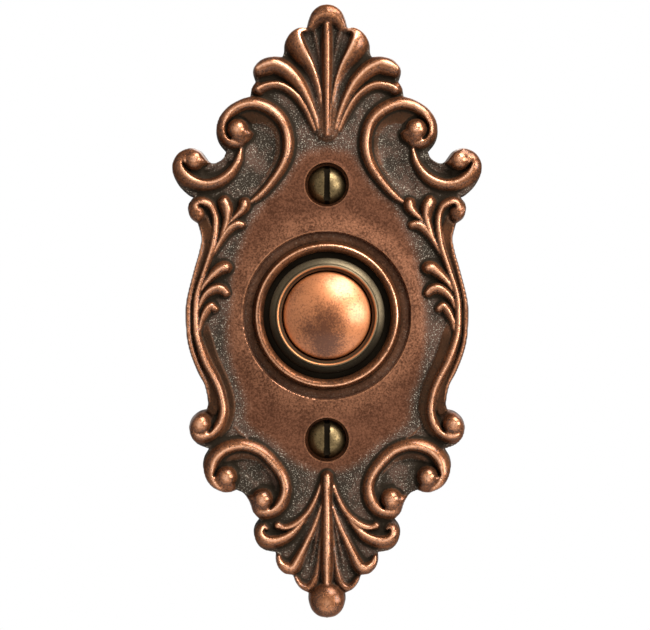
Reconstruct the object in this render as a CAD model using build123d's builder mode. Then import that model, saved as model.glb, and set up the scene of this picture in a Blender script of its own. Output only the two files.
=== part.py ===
from build123d import *
import os

# Doorbell push button: a cast scrollwork escutcheon with a sprung button at its middle.
# Lengths are in millimetres. The wall is the plane y = 0, the front faces -Y, +Z is up
# and the button slides along the Y axis. A projection is a distance in front of the wall.

# Escutcheon casting
GROUND = 6.0  # projection of the ground that the ornament stands on
CAST_WALL = 2.0  # metal left between the ground and the hollow back
EYE_LIFT = 0.35  # centres of the scroll eyes above the ground
FINIAL_SINK = 1.3  # centres of the top and bottom finials below the ground

# Raised collar of the casting, round the button, with widths from the hole outwards
HOLE_GAP = 1.25  # from the sleeve's collar to the edge of the hole
RING_RISE_WIDTH = 1.2
RING_FALL_WIDTH = 1.55
MOAT_WIDTH = 0.8
MOAT_SLOPE = 0.7  # run of the moat's outer wall
SWELL_WIDTH = 6.6  # swell of the field that rises to the lip
RING_PROUD = 2.2  # crest of the ring above the ground
RING_INNER_PROUD = 1.2  # inner edge of the ring above the ground
LIP_PROUD = 0.5
MOAT_DEPTH = 0.8  # floor of the moat below the ground
SWELL_TOE = 0.1  # foot of the swell below the ground
CUT_SPARE = 1.0  # how far the turned cut runs past the ring's crest
RING_SLOPES = ((0.4, 1.0), (1.0, -0.7))  # directions of the ring's section at its inner edge and its foot

# Mounting screws: number 8 round-head wood screws
SCREW_SPACING = 52.6
SCREW_CENTRE_Z = 0.7
SCREW_HEAD_R = 4.0
SCREW_HEAD_HEIGHT = 2.8
SCREW_SHANK_R = 2.085
SCREW_THREAD_R = 1.8
SCREW_LENGTH = 25.0  # under the head
SCREW_POINT = 5.5
SCREW_SLOT_WIDTH = 1.15
SCREW_SLOT_DEPTH = 1.5
SCREW_SINK = 2.4  # seat of the head below the ground
SCREW_CLEARANCE = 0.215
HEAD_GAP = 0.55  # round the head, in its counterbore
SCREW_BOSS_WALL = 1.9

# Button sleeve, with heights from the front of its flange
SLEEVE_FLANGE = 1.1
SLEEVE_FLANGE_LAP = 2.15  # how far the flange laps behind the plate
SLEEVE_WALL = 1.0
COLLAR_HEIGHT = 2.6
COVE_WIDTH = 0.55
COVE_HEIGHT = 2.8  # where the cove inside the bead meets the bore
BEAD_WIDTH = 0.75
BEAD_CREST_WIDTH = 0.35
BEAD_FOOT_HEIGHT = 3.5
BEAD_PROUD = 0.5  # crest of the bead above its foot
STEP_HEIGHT = 1.2  # step that holds the button in

# Push button
BUTTON_R = 9.0
BUTTON_GAP = 0.3  # round the button, in the sleeve
BUTTON_TRAVEL = 1.6
BUTTON_STOP_GAP = 0.05  # between the button's flange and the step at rest
BUTTON_FLANGE = 0.6
BUTTON_FLANGE_LAP = 1.6  # how far the flange stands out past the button's side
SKIRT_HEIGHT = 2.1  # dome edge above the button's flange
DOME_HEIGHT = 3.6
DOME_EDGE_FILLET = 1.0
STEM_R = 2.2
STEM_LENGTH = 3.3  # below the button's flange

# Contact base
BASE_WALL = 3.6
BASE_FLOOR = 2.5
BASE_CHAMFER = 0.6
SPRING_SEAT_DEPTH = 3.4
SPRING_LEDGE = 1.9  # width of the ledge under the spring
EAR_WIDTH = 6.0
EAR_THICKNESS = 1.2

# Base screws
BASE_SCREW_OUT = 4.0  # centres out from the side of the base
BASE_SCREW_R = 1.2
BASE_SCREW_HEAD_R = 2.2
BASE_SCREW_HEAD = 1.3
BASE_SCREW_BEVEL = 0.4
BASE_SCREW_GRIP = 1.9  # thread inside the plate's boss
BASE_SCREW_SLOT = 0.6
TAPPED_SPARE = 0.2  # hole left past the screw's end
THREAD_CLEARANCE = 0.08
BASE_BOSS_R = 2.6

# Return spring
SPRING_WIRE_R = 0.28
SPRING_WIRE_SIDES = 6
SPRING_TURNS = 3.5
SPRING_STATIONS = 70  # sections along the whole coil
SPRING_SIDE_GAP = 0.3  # from the coil to the wall of its seat
SPRING_END_GAP = 0.02  # at each end of the coil

# Contacts and terminals
STRIP_THICKNESS = 0.3
STRIP_WIDTH = 4.0
STRIP_END_SPARE = 0.2  # strip past the head of its terminal screw
TERMINAL_INSET = 2.4  # terminal centres in from the wall of the well
LEAF_BEND_SPARE = 0.1  # flat foot between the terminal's head and the leaf's first bend
LEAF_FLAT = 1.9  # half of the flat under the stem
LEAF_BEND_R = 0.8
STEM_LEAF_GAP = 0.05
LEAF_CONTACT_R = 0.9
LEAF_CONTACT_HEIGHT = 0.5
CONTACT_OVERTRAVEL = 0.3  # travel left once the contacts meet
RIVET_HEAD_R = 1.2
RIVET_HEAD_HEIGHT = 0.8
RIVET_BEVEL = 0.25
RIVET_SHANK_R = 0.8
TERMINAL_R = 1.2
TERMINAL_HEAD_R = 1.6
TERMINAL_HEAD = 1.0
TERMINAL_BEVEL = 0.3
TERMINAL_SLOT = 0.5
TERMINAL_TAIL = 4.0  # thread behind the base
WASHER_R = 2.4
WASHER_THICKNESS = 0.5
NUT_ACROSS_FLATS = 4.4
NUT_THICKNESS = 1.8

# Projections worked out from the sizes above
FLOOR = GROUND - CAST_WALL
SCREW_SEAT = GROUND - SCREW_SINK
BASE_TOP = FLOOR - SLEEVE_FLANGE
BEAD_FOOT = FLOOR + BEAD_FOOT_HEIGHT
STEP = FLOOR + STEP_HEIGHT
BUTTON_FLANGE_TOP = STEP - BUTTON_STOP_GAP
BUTTON_FLANGE_BACK = BUTTON_FLANGE_TOP - BUTTON_FLANGE
DOME_EDGE = BUTTON_FLANGE_TOP + SKIRT_HEIGHT
STEM_END = BUTTON_FLANGE_BACK - STEM_LENGTH
SPRING_SEAT = BASE_TOP - SPRING_SEAT_DEPTH
LEAF_BACK = STEM_END - STEM_LEAF_GAP - STRIP_THICKNESS
LEAF_CONTACT_END = LEAF_BACK - LEAF_CONTACT_HEIGHT
RIVET_TOP = LEAF_CONTACT_END - BUTTON_TRAVEL + CONTACT_OVERTRAVEL
STRIP_TOP = RIVET_TOP - RIVET_HEAD_HEIGHT
WELL_FLOOR = STRIP_TOP - STRIP_THICKNESS
BASE_BACK = WELL_FLOOR - BASE_FLOOR
WASHER_BACK = BASE_BACK - WASHER_THICKNESS
EAR_BACK = BASE_TOP - EAR_THICKNESS
MOAT_FLOOR = GROUND - MOAT_DEPTH
LIP = GROUND + LIP_PROUD
RING_CREST = GROUND + RING_PROUD
CUT_TOP = RING_CREST + CUT_SPARE

# Radii worked out from the sizes above
SLEEVE_BORE_R = BUTTON_R + BUTTON_GAP
BUTTON_FLANGE_R = BUTTON_R + BUTTON_FLANGE_LAP
SPRING_SEAT_R = BUTTON_FLANGE_R + BUTTON_GAP
BEAD_INNER_R = SLEEVE_BORE_R + COVE_WIDTH
BEAD_OUTER_R = BEAD_INNER_R + BEAD_WIDTH
BEAD_CREST_INSET = (BEAD_WIDTH - BEAD_CREST_WIDTH) / 2
COLLAR_R = SPRING_SEAT_R + SLEEVE_WALL
BUTTON_HOLE_R = COLLAR_R + HOLE_GAP
SLEEVE_FLANGE_R = BUTTON_HOLE_R + SLEEVE_FLANGE_LAP
RING_CREST_R = BUTTON_HOLE_R + RING_RISE_WIDTH
RING_FOOT_R = RING_CREST_R + RING_FALL_WIDTH
MOAT_R = RING_FOOT_R + MOAT_WIDTH
LIP_R = MOAT_R + MOAT_SLOPE
SWELL_R = LIP_R + SWELL_WIDTH
BASE_R = SPRING_SEAT_R + BASE_WALL
WELL_R = SPRING_SEAT_R - SPRING_LEDGE
SCREW_HOLE_R = SCREW_SHANK_R + SCREW_CLEARANCE
COUNTERBORE_R = SCREW_HEAD_R + HEAD_GAP
SCREW_BOSS_R = COUNTERBORE_R + SCREW_BOSS_WALL

# Places of the fasteners, as (x, z)
SCREW_PLACES = ((0, SCREW_CENTRE_Z + SCREW_SPACING / 2), (0, SCREW_CENTRE_Z - SCREW_SPACING / 2))
BASE_SCREW_X = BASE_R + BASE_SCREW_OUT
BASE_SCREW_PLACES = ((-BASE_SCREW_X, 0), (BASE_SCREW_X, 0))
TERMINAL_X = WELL_R - TERMINAL_INSET
TERMINAL_PLACES = ((-TERMINAL_X, 0), (TERMINAL_X, 0))

# Sections of the carving for radius 1: a ridge as (rise from the ground, side), a ball as (rise, spread)
SCROLL_SECTION = ((-0.5, -1.05), (0.65, -0.68), (1.05, 0.0), (0.65, 0.68), (-0.5, 1.05))
LEAF_SECTION = ((-0.5, -1.05), (0.95, -0.42), (0.95, 0.42), (-0.5, 1.05))
BORDER_SECTION = ((-0.6, -1.2), (1.0, 0.0), (-0.6, 1.2))
EYE_SECTION = ((-0.6, 1.0), (0.2, 1.0), (0.72, 0.72), (1.0, 0.24))
TIP_SECTION = ((-0.6, 1.0), (0.4, 0.95), (0.97, 0.45))
EYE_SIDES = 10
TIP_SIDES = 8

# Right half of the ground's edge, from the top finial round to the bottom one, as (x, z).
# It runs a little inside the ridges that roll over it. Each stretch is one lobe or hollow.
GROUND_EDGE = (
    ((0.0, 64.0), (2.6, 62.9), (3.9, 59.6)),
    ((3.9, 59.6), (7.6, 58.1), (9.05, 53.3)),
    ((9.05, 53.3), (13.9, 52.3), (14.4, 48.4)),
    ((14.4, 48.4), (15.5, 46.9), (15.6, 45.2)),
    ((15.6, 45.2), (20.6, 42.8), (22.5, 39.4), (20.6, 34.0)),
    ((20.6, 34.0), (23.2, 31.35), (25.3, 32.6)),
    ((25.3, 32.6), (28.1, 34.4), (31.55, 31.9), (31.2, 28.5), (27.5, 24.8)),
    ((27.5, 24.8), (28.4, 21.9), (26.4, 19.2)),
    ((26.4, 19.2), (25.8, 16.0), (27.3, 9.5), (29.0, 0.0), (27.95, -8.0), (25.05, -14.5), (24.6, -19.6)),
    ((24.6, -19.6), (27.8, -21.5), (28.05, -24.1), (24.2, -27.4)),
    ((24.2, -27.4), (25.3, -31.4), (23.0, -35.55), (18.6, -35.75)),
    ((18.6, -35.75), (16.4, -37.4), (15.45, -39.4)),
    ((15.45, -39.4), (14.95, -40.8), (13.7, -42.1)),
    ((13.7, -42.1), (14.7, -46.0), (10.3, -48.7)),
    ((10.3, -48.7), (9.8, -51.9), (6.8, -53.4)),
    ((6.8, -53.4), (5.6, -55.8), (3.5, -57.1)),
    ((3.5, -57.1), (2.5, -61.1), (0.0, -62.2)),
)

# Right half of the hollow back's edge, from top to bottom, as arcs through three (x, z) points
HOLLOW_EDGE = (
    ((0.0, 55.5), (9.0, 48.5), (16.5, 40.0)),
    ((16.5, 40.0), (18.6, 35.0), (20.8, 29.5)),
    ((20.8, 29.5), (22.8, 20.0), (24.4, 10.0)),
    ((24.4, 10.0), (26.0, 0.5), (24.6, -9.0)),
    ((24.6, -9.0), (22.2, -17.0), (21.2, -25.5)),
    ((21.2, -25.5), (16.5, -34.0), (10.5, -42.0)),
    ((10.5, -42.0), (6.0, -49.0), (0.0, -54.5)),
)

# Courses of the scrollwork on the right half: (x, z, ridge radius) along each centre line
SCROLLS = {
    "upper_scroll": (
        (18.6, 36.7, 1.2), (20.2, 36.7, 1.45), (21.4, 38.2, 1.5), (21.5, 40.0, 1.5), (20.7, 41.8, 1.45),
        (18.9, 43.2, 1.4), (16.6, 43.9, 1.35), (14.2, 43.8, 1.3), (11.8, 42.9, 1.3), (9.8, 41.3, 1.3),
        (8.5, 39.0, 1.3), (8.0, 36.3, 1.3), (8.3, 33.5, 1.25), (9.3, 30.7, 1.15), (11.0, 28.0, 1.05),
        (13.0, 25.8, 0.9), (15.2, 24.0, 0.6),
    ),
    "arm_scroll": (
        (17.6, 34.4, 0.3), (17.7, 32.8, 0.65), (18.3, 31.1, 0.9), (19.5, 29.2, 1.05), (21.5, 27.5, 1.15),
        (24.0, 26.6, 1.2), (26.6, 26.5, 1.25), (28.9, 27.4, 1.35), (30.4, 29.0, 1.45), (30.7, 30.9, 1.4),
        (29.9, 32.6, 1.4), (28.3, 33.3, 1.3),
    ),
    "side_stem": (
        (27.6, 21.4, 1.0), (27.5, 22.6, 1.05), (26.4, 23.4, 0.85), (25.0, 23.1, 0.8), (23.9, 21.9, 0.75),
        (23.3, 19.8, 0.75), (23.2, 17.3, 0.75), (23.7, 14.4, 0.75), (24.7, 11.4, 0.75), (25.7, 8.2, 0.75),
        (26.6, 4.8, 0.75), (27.0, 1.2, 0.8), (27.1, -2.4, 0.9), (26.5, -6.3, 1.0), (25.2, -9.8, 1.1),
        (23.4, -13.2, 1.1), (22.0, -16.6, 1.1), (21.4, -19.6, 1.1), (21.7, -22.2, 1.2), (22.9, -24.2, 1.3),
        (24.8, -25.2, 1.5), (26.7, -24.7, 1.5), (27.2, -23.0, 1.4),
    ),
    "side_rim": (
        (25.6, 18.2, 0.6), (25.5, 15.4, 0.8), (26.3, 11.4, 0.8), (27.5, 6.6, 0.8), (28.3, 2.0, 0.8),
        (28.4, -3.0, 0.8), (27.6, -7.8, 0.8), (25.9, -12.0, 0.8), (24.6, -15.6, 0.8), (24.0, -18.6, 0.7),
    ),
    "lower_scroll": (
        (20.6, -34.7, 1.3), (22.5, -34.9, 1.5), (23.9, -33.4, 1.5), (24.2, -31.3, 1.45), (23.4, -29.2, 1.35),
        (21.6, -27.6, 1.25), (19.2, -26.8, 1.2), (16.6, -26.7, 1.2), (14.1, -27.5, 1.15), (11.9, -29.1, 1.1),
        (10.1, -31.3, 1.05), (8.9, -33.9, 1.05), (8.7, -36.6, 1.1), (9.6, -38.9, 1.2), (11.4, -40.0, 1.35),
        (13.2, -40.1, 1.4), (14.2, -38.8, 1.3),
    ),
}

# Thin raised borders of the field, courses as above
BORDERS = {
    "inner_border": (
        (23.7, -1.6, 0.3), (23.4, -5.2, 0.45), (22.6, -9.2, 0.5), (21.1, -12.8, 0.5), (19.8, -16.4, 0.5),
        (19.2, -20.0, 0.5), (19.6, -23.4, 0.35),
    ),
    "border_tie": ((16.2, -25.2, 0.3), (18.0, -24.5, 0.4), (19.3, -23.2, 0.4)),
}

# Acanthus leaves beside the stems and petals of the two palmettes, courses as above
LEAVES = {
    "leaf_1": (
        (21.2, 24.2, 0.95), (20.5, 22.6, 0.85), (20.5, 20.2, 0.75), (21.3, 17.2, 0.7), (22.6, 13.8, 0.65),
        (24.2, 10.0, 0.55),
    ),
    "leaf_2": ((17.2, 23.6, 1.0), (17.5, 21.8, 0.85), (19.0, 20.1, 0.75), (20.6, 18.2, 0.55)),
    "leaf_3": ((17.5, 19.0, 0.7), (18.4, 19.4, 0.7), (19.8, 18.3, 0.65), (21.2, 16.2, 0.6), (22.7, 13.2, 0.5)),
    "leaf_4": ((20.9, 10.2, 1.05), (22.5, 9.8, 0.9), (24.1, 8.5, 0.7), (25.9, 5.6, 0.55)),
    "leaf_5": ((20.9, 5.5, 1.0), (22.2, 6.1, 0.9), (24.0, 5.2, 0.75), (25.6, 3.2, 0.65), (26.6, 0.6, 0.5)),
    "leaf_6": ((23.0, 1.6, 0.8), (24.0, 2.0, 0.75), (25.2, 0.8, 0.7), (26.1, -1.4, 0.6), (26.5, -4.2, 0.5)),
    "top_petal_1": (
        (6.6, 57.2, 1.8), (5.8, 54.6, 1.4), (4.4, 51.4, 1.0), (3.1, 48.2, 0.8), (2.1, 44.6, 0.65),
        (1.4, 40.8, 0.5), (1.0, 37.4, 0.45),
    ),
    "top_petal_2": (
        (13.2, 51.6, 1.8), (11.0, 51.5, 1.75), (8.7, 50.0, 1.45), (6.5, 47.6, 1.15), (4.8, 44.8, 0.95),
        (3.4, 41.4, 0.8), (2.3, 37.6, 0.65),
    ),
    "top_petal_3": (
        (14.5, 46.8, 1.0), (12.6, 47.3, 0.95), (10.4, 47.1, 0.85), (8.3, 46.2, 0.75), (6.3, 44.4, 0.65),
        (4.7, 41.8, 0.55), (3.6, 39.2, 0.4),
    ),
    "base_petal_1": (
        (10.2, -43.1, 0.75), (8.3, -43.5, 0.7), (5.9, -42.5, 0.65), (3.8, -40.3, 0.6), (2.2, -37.6, 0.55),
        (1.1, -34.8, 0.5),
    ),
    "base_petal_2": (
        (13.1, -45.6, 1.75), (11.7, -46.6, 1.6), (9.2, -46.4, 1.2), (6.4, -44.8, 0.9), (4.0, -42.4, 0.65),
        (2.1, -39.2, 0.45),
    ),
    "base_petal_3": (
        (8.5, -51.4, 1.6), (7.2, -50.9, 1.2), (5.7, -49.0, 0.9), (3.9, -45.9, 0.7), (2.4, -42.4, 0.55),
        (1.4, -39.0, 0.4),
    ),
    "base_petal_4": (
        (4.9, -55.0, 1.7), (3.9, -53.4, 1.0), (2.6, -50.0, 0.75), (1.7, -46.0, 0.6), (1.1, -42.0, 0.4),
    ),
}

# Scroll eyes and petal heads, then the leaf tips, on the right half: (x, z, ball radius)
EYES = (
    (18.45, 38.35, 2.05),
    (27.3, 32.0, 2.0),
    (26.0, -22.4, 1.85),
    (20.8, -33.2, 2.05),
    (12.9, -37.9, 1.8),
    (6.9, 57.2, 2.1),
    (13.3, 51.4, 2.05),
    (13.2, -45.5, 1.95),
    (8.5, -51.5, 1.85),
    (4.8, -55.0, 1.9),
)
TIPS = (
    (27.0, 21.5, 1.45),
    (14.5, 46.8, 1.3),
    (21.2, 24.3, 1.2),
    (17.2, 23.6, 1.25),
    (17.4, 18.9, 0.95),
    (20.8, 10.2, 1.3),
    (20.7, 5.4, 1.25),
    (22.9, 1.6, 1.0),
    (10.3, -43.1, 0.95),
)

# On the centre line: the ribs of the palmettes, then the two finials as (x, z, ball radius)
RIBS = {
    "top_rib": ((0.0, 60.5, 1.15), (0.0, 55.0, 1.1), (0.0, 48.0, 0.95), (0.0, 42.0, 0.8), (0.0, 37.2, 0.65)),
    "base_rib": ((0.0, -33.0, 1.1), (0.0, -36.0, 1.2), (0.0, -44.0, 1.1), (0.0, -51.0, 1.0), (0.0, -57.0, 0.9)),
}
RIB_ENDS = ((0.0, 37.0, 0.95), (0.0, -33.1, 1.3))
FINIALS = ((0.0, 60.55, 3.75), (0.0, -58.75, 3.75))

# Radial half-plane for turned pieces: local x is the radius and local y the projection
LATHE = Plane(origin=(0, 0, 0), x_dir=(1, 0, 0), z_dir=(0, 0, -1))


def wall_plane(projection):
    """Plane parallel to the wall, facing out, at a projection: local x is X and local y is Z."""
    return Plane.XZ.offset(projection)


def ridge(course, section):
    """Carved ridge of one section that follows a course of (x, z, radius) along the ground."""
    ground = wall_plane(GROUND)
    with BuildPart() as body:
        with BuildLine(ground) as centre:
            Spline(*[(x, z) for x, z, radius in course])
        line = centre.edge()
        for x, z, radius in course:
            point = ground.from_local_coords((x, z))
            along = line.tangent_at(line.param_at_point(point))
            with BuildSketch(Plane(origin=point, x_dir=(0, -1, 0), z_dir=along)):
                with BuildLine():
                    Polyline(*[(rise * radius, side * radius) for rise, side in section], close=True)
                make_face()
        loft(ruled=True)
    return body.part


def knobs(places, projection, section, sides):
    """Carved balls at (x, z, radius), with their centres at one projection."""
    shapes = []
    for x, z, radius in places:
        with BuildPart() as knob:
            for rise, spread in section:
                with BuildSketch(wall_plane(projection + rise * radius)):
                    with Locations((x, z)):
                        RegularPolygon(spread * radius, sides)
            loft(ruled=True)
        shapes.append(knob.part)
    return shapes


def cheese_screw(seat, way, head_r, head, bevel, shank_r, length, slot):
    """Slotted screw on the Y axis: its shank runs outwards from the seat for way 1, to the wall for way -1."""
    crown = seat - way * head
    with BuildPart() as screw:
        with BuildSketch(LATHE):
            with BuildLine():
                Polyline(
                    (0, crown),
                    (head_r - bevel, crown),
                    (head_r, crown + way * bevel),
                    (head_r, seat),
                    (shank_r, seat),
                    (shank_r, seat + way * length),
                    (0, seat + way * length),
                    close=True,
                )
            make_face()
        revolve(axis=Axis.Y)
        with BuildSketch(wall_plane(crown)):
            Rectangle(slot, 2 * head_r)
        extrude(amount=way * head / 2, mode=Mode.SUBTRACT)
    return screw.part


def placed_group(piece, places):
    """One group of separate copies of a piece, moved to (x, z) places."""
    with BuildPart() as group:
        with Locations(*[(x, 0, z) for x, z in places]):
            add(piece)
    return group.part


def finish(part, name):
    """Label a finished piece and write it to its own file."""
    part.label = name
    export_step(part, f"parts/{name}.step")


os.makedirs("parts", exist_ok=True)

# Scrollwork and palmettes, modelled on the right and mirrored
side_ridges = [ridge(course, SCROLL_SECTION) for course in SCROLLS.values()]
side_ridges += [ridge(course, LEAF_SECTION) for course in LEAVES.values()]
side_ridges += [ridge(course, BORDER_SECTION) for course in BORDERS.values()]
eye_projection = GROUND + EYE_LIFT
side_knobs = knobs(EYES, eye_projection, EYE_SECTION, EYE_SIDES)
side_knobs += knobs(TIPS, eye_projection, TIP_SECTION, TIP_SIDES)
with BuildPart() as side_relief:
    add(side_ridges + side_knobs)
    mirror(about=Plane.YZ)
middle_ridges = [ridge(course, SCROLL_SECTION) for course in RIBS.values()]
middle_knobs = knobs(RIB_ENDS, eye_projection, TIP_SECTION, TIP_SIDES)
middle_knobs += knobs(FINIALS, GROUND - FINIAL_SINK, EYE_SECTION, EYE_SIDES)

# Collar round the button: a turned blank that swells from the ground, then its moat and ring as a turned cut
with BuildPart() as collar_blank:
    with BuildSketch(LATHE):
        with BuildLine():
            swell = TangentArc((SWELL_R, GROUND - SWELL_TOE), (LIP_R, LIP), tangent=(-1, 0))
            Polyline(
                swell @ 1,
                (LIP_R, RING_CREST),
                (0, RING_CREST),
                (0, MOAT_FLOOR),
                (SWELL_R, MOAT_FLOOR),
                swell @ 0,
            )
        make_face()
    revolve(axis=Axis.Y)

with BuildPart() as collar_cut:
    with BuildSketch(LATHE):
        with BuildLine():
            ring = Spline(
                (BUTTON_HOLE_R, GROUND + RING_INNER_PROUD),
                (RING_CREST_R, RING_CREST),
                (RING_FOOT_R, MOAT_FLOOR),
                tangents=RING_SLOPES,
            )
            Polyline(
                ring @ 1,
                (MOAT_R, MOAT_FLOOR),
                (LIP_R, LIP),
                (LIP_R, CUT_TOP),
                (0, CUT_TOP),
                (0, 0),
                (BUTTON_HOLE_R, 0),
                ring @ 0,
            )
        make_face()
    revolve(axis=Axis.Y)

# Hollow back round the bosses, with the counterbored screw holes and the blind tapped holes
with BuildPart() as hollow:
    with BuildSketch(wall_plane(0)):
        with BuildLine():
            for stretch in HOLLOW_EDGE:
                ThreePointArc(*stretch)
            mirror(about=Plane.YZ)
        make_face()
        with Locations(*SCREW_PLACES):
            Circle(SCREW_BOSS_R, mode=Mode.SUBTRACT)
    extrude(amount=FLOOR)
    with BuildSketch(wall_plane(0)):
        with Locations(*SCREW_PLACES):
            Circle(SCREW_HOLE_R)
    extrude(amount=SCREW_SEAT)
    with BuildSketch(wall_plane(SCREW_SEAT)):
        with Locations(*SCREW_PLACES):
            Circle(COUNTERBORE_R)
    extrude(amount=CUT_TOP - SCREW_SEAT)
    with BuildSketch(wall_plane(BASE_TOP)):
        with Locations(*BASE_SCREW_PLACES):
            Circle(BASE_BOSS_R)
    extrude(amount=SLEEVE_FLANGE, mode=Mode.SUBTRACT)
    with BuildSketch(wall_plane(BASE_TOP)):
        with Locations(*BASE_SCREW_PLACES):
            Circle(BASE_SCREW_R + THREAD_CLEARANCE)
    extrude(amount=BASE_SCREW_GRIP + TAPPED_SPARE)

# Escutcheon: one casting
with BuildPart() as escutcheon:
    with BuildSketch(wall_plane(0)):
        with BuildLine():
            for stretch in GROUND_EDGE:
                if len(stretch) == 3:
                    ThreePointArc(*stretch)
                else:
                    Spline(*stretch)
            mirror(about=Plane.YZ)
        make_face()
    extrude(amount=GROUND)
    add([side_relief.part, collar_blank.part, *middle_ridges, *middle_knobs])
    add([collar_cut.part, hollow.part], mode=Mode.SUBTRACT)
finish(escutcheon.part, "escutcheon")

# Mounting screws: round heads in the counterbores, threads behind the wall plane
screw_crown = SCREW_SEAT + SCREW_HEAD_HEIGHT
screw_end = SCREW_SEAT - SCREW_LENGTH
with BuildPart() as wood_screw:
    with BuildSketch(LATHE):
        with BuildLine():
            crown_line = TangentArc((0, screw_crown), (SCREW_HEAD_R, SCREW_SEAT), tangent=(1, 0))
            Polyline(
                crown_line @ 1,
                (SCREW_SHANK_R, SCREW_SEAT),
                (SCREW_SHANK_R, 0),
                (SCREW_THREAD_R, 0),
                (SCREW_THREAD_R, screw_end + SCREW_POINT),
                (0, screw_end),
                crown_line @ 0,
            )
        make_face()
    revolve(axis=Axis.Y)
    with BuildSketch(wall_plane(screw_crown - SCREW_SLOT_DEPTH)):
        Rectangle(SCREW_SLOT_WIDTH, 2 * SCREW_HEAD_R)
    extrude(amount=SCREW_SLOT_DEPTH, mode=Mode.SUBTRACT)
finish(placed_group(wood_screw.part, SCREW_PLACES), "mounting_screws")

# Button sleeve: a flange behind the plate, a conical collar and a bead round the button
with BuildPart() as button_sleeve:
    with BuildSketch(LATHE):
        with BuildLine():
            Polyline(
                (BEAD_OUTER_R, BEAD_FOOT),
                (BEAD_OUTER_R - BEAD_CREST_INSET, BEAD_FOOT + BEAD_PROUD),
                (BEAD_INNER_R + BEAD_CREST_INSET, BEAD_FOOT + BEAD_PROUD),
                (BEAD_INNER_R, BEAD_FOOT),
                (SLEEVE_BORE_R, FLOOR + COVE_HEIGHT),
                (SLEEVE_BORE_R, STEP),
                (SPRING_SEAT_R, STEP),
                (SPRING_SEAT_R, BASE_TOP),
                (SLEEVE_FLANGE_R, BASE_TOP),
                (SLEEVE_FLANGE_R, FLOOR),
                (COLLAR_R, FLOOR),
                (COLLAR_R, FLOOR + COLLAR_HEIGHT),
                close=True,
            )
        make_face()
    revolve(axis=Axis.Y)
finish(button_sleeve.part, "button_sleeve")

# Push button: a domed cap, the flange that keeps it in and the stem that works the contacts
with BuildPart() as push_button:
    with BuildSketch(LATHE):
        with BuildLine():
            dome = TangentArc((0, DOME_EDGE + DOME_HEIGHT), (BUTTON_R, DOME_EDGE), tangent=(1, 0))
            Polyline(
                dome @ 1,
                (BUTTON_R, BUTTON_FLANGE_TOP),
                (BUTTON_FLANGE_R, BUTTON_FLANGE_TOP),
                (BUTTON_FLANGE_R, BUTTON_FLANGE_BACK),
                (STEM_R, BUTTON_FLANGE_BACK),
                (STEM_R, STEM_END),
                (0, STEM_END),
                dome @ 0,
            )
        edge = make_face()
        fillet(edge.vertices().group_by(Axis.X)[-2].sort_by(Axis.Y)[-1], DOME_EDGE_FILLET)
    revolve(axis=Axis.Y)
finish(push_button.part, "push_button")

# Contact base: a moulded cup with two ears, screwed up against the sleeve's flange
with BuildPart() as contact_base:
    with BuildSketch(wall_plane(BASE_BACK)):
        Circle(BASE_R)
    extrude(amount=BASE_TOP - BASE_BACK)
    chamfer(contact_base.edges().sort_by(Axis.Y)[-1], BASE_CHAMFER)
    with BuildSketch(wall_plane(EAR_BACK)):
        SlotCenterToCenter(2 * BASE_SCREW_X, EAR_WIDTH)
    extrude(amount=EAR_THICKNESS)
    with BuildSketch(wall_plane(SPRING_SEAT)):
        Circle(SPRING_SEAT_R)
    extrude(amount=SPRING_SEAT_DEPTH, mode=Mode.SUBTRACT)
    with BuildSketch(wall_plane(WELL_FLOOR)):
        Circle(WELL_R)
    extrude(amount=BASE_TOP - WELL_FLOOR, mode=Mode.SUBTRACT)
    with BuildSketch(wall_plane(BASE_BACK)):
        with Locations(*TERMINAL_PLACES):
            Circle(TERMINAL_R + THREAD_CLEARANCE)
    extrude(amount=BASE_FLOOR, mode=Mode.SUBTRACT)
    with BuildSketch(wall_plane(EAR_BACK)):
        with Locations(*BASE_SCREW_PLACES):
            Circle(BASE_SCREW_R + THREAD_CLEARANCE)
    extrude(amount=EAR_THICKNESS, mode=Mode.SUBTRACT)
finish(contact_base.part, "contact_base")

# Base screws: heads behind the ears, threads forward into the plate's bosses
base_screw = cheese_screw(
    seat=EAR_BACK,
    way=1,
    head_r=BASE_SCREW_HEAD_R,
    head=BASE_SCREW_HEAD,
    bevel=BASE_SCREW_BEVEL,
    shank_r=BASE_SCREW_R,
    length=EAR_THICKNESS + BASE_SCREW_GRIP,
    slot=BASE_SCREW_SLOT,
)
finish(placed_group(base_screw, BASE_SCREW_PLACES), "base_screws")

# Return spring: a coil between its seat in the base and the button's flange
coil_r = SPRING_SEAT_R - SPRING_SIDE_GAP - SPRING_WIRE_R
coil_start = SPRING_SEAT + SPRING_WIRE_R + SPRING_END_GAP
coil_height = BUTTON_FLANGE_BACK - SPRING_WIRE_R - SPRING_END_GAP - coil_start
with BuildLine():
    coil = Helix(
        pitch=coil_height / SPRING_TURNS,
        height=coil_height,
        radius=coil_r,
        center=(0, -coil_start, 0),
        direction=(0, -1, 0),
    )
with BuildPart() as return_spring:
    for station in range(SPRING_STATIONS + 1):
        share = station / SPRING_STATIONS
        with BuildSketch(Plane(origin=coil @ share, x_dir=(0, 1, 0), z_dir=coil % share)):
            RegularPolygon(SPRING_WIRE_R, SPRING_WIRE_SIDES)
    loft(ruled=True)
finish(return_spring.part, "return_spring")

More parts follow.
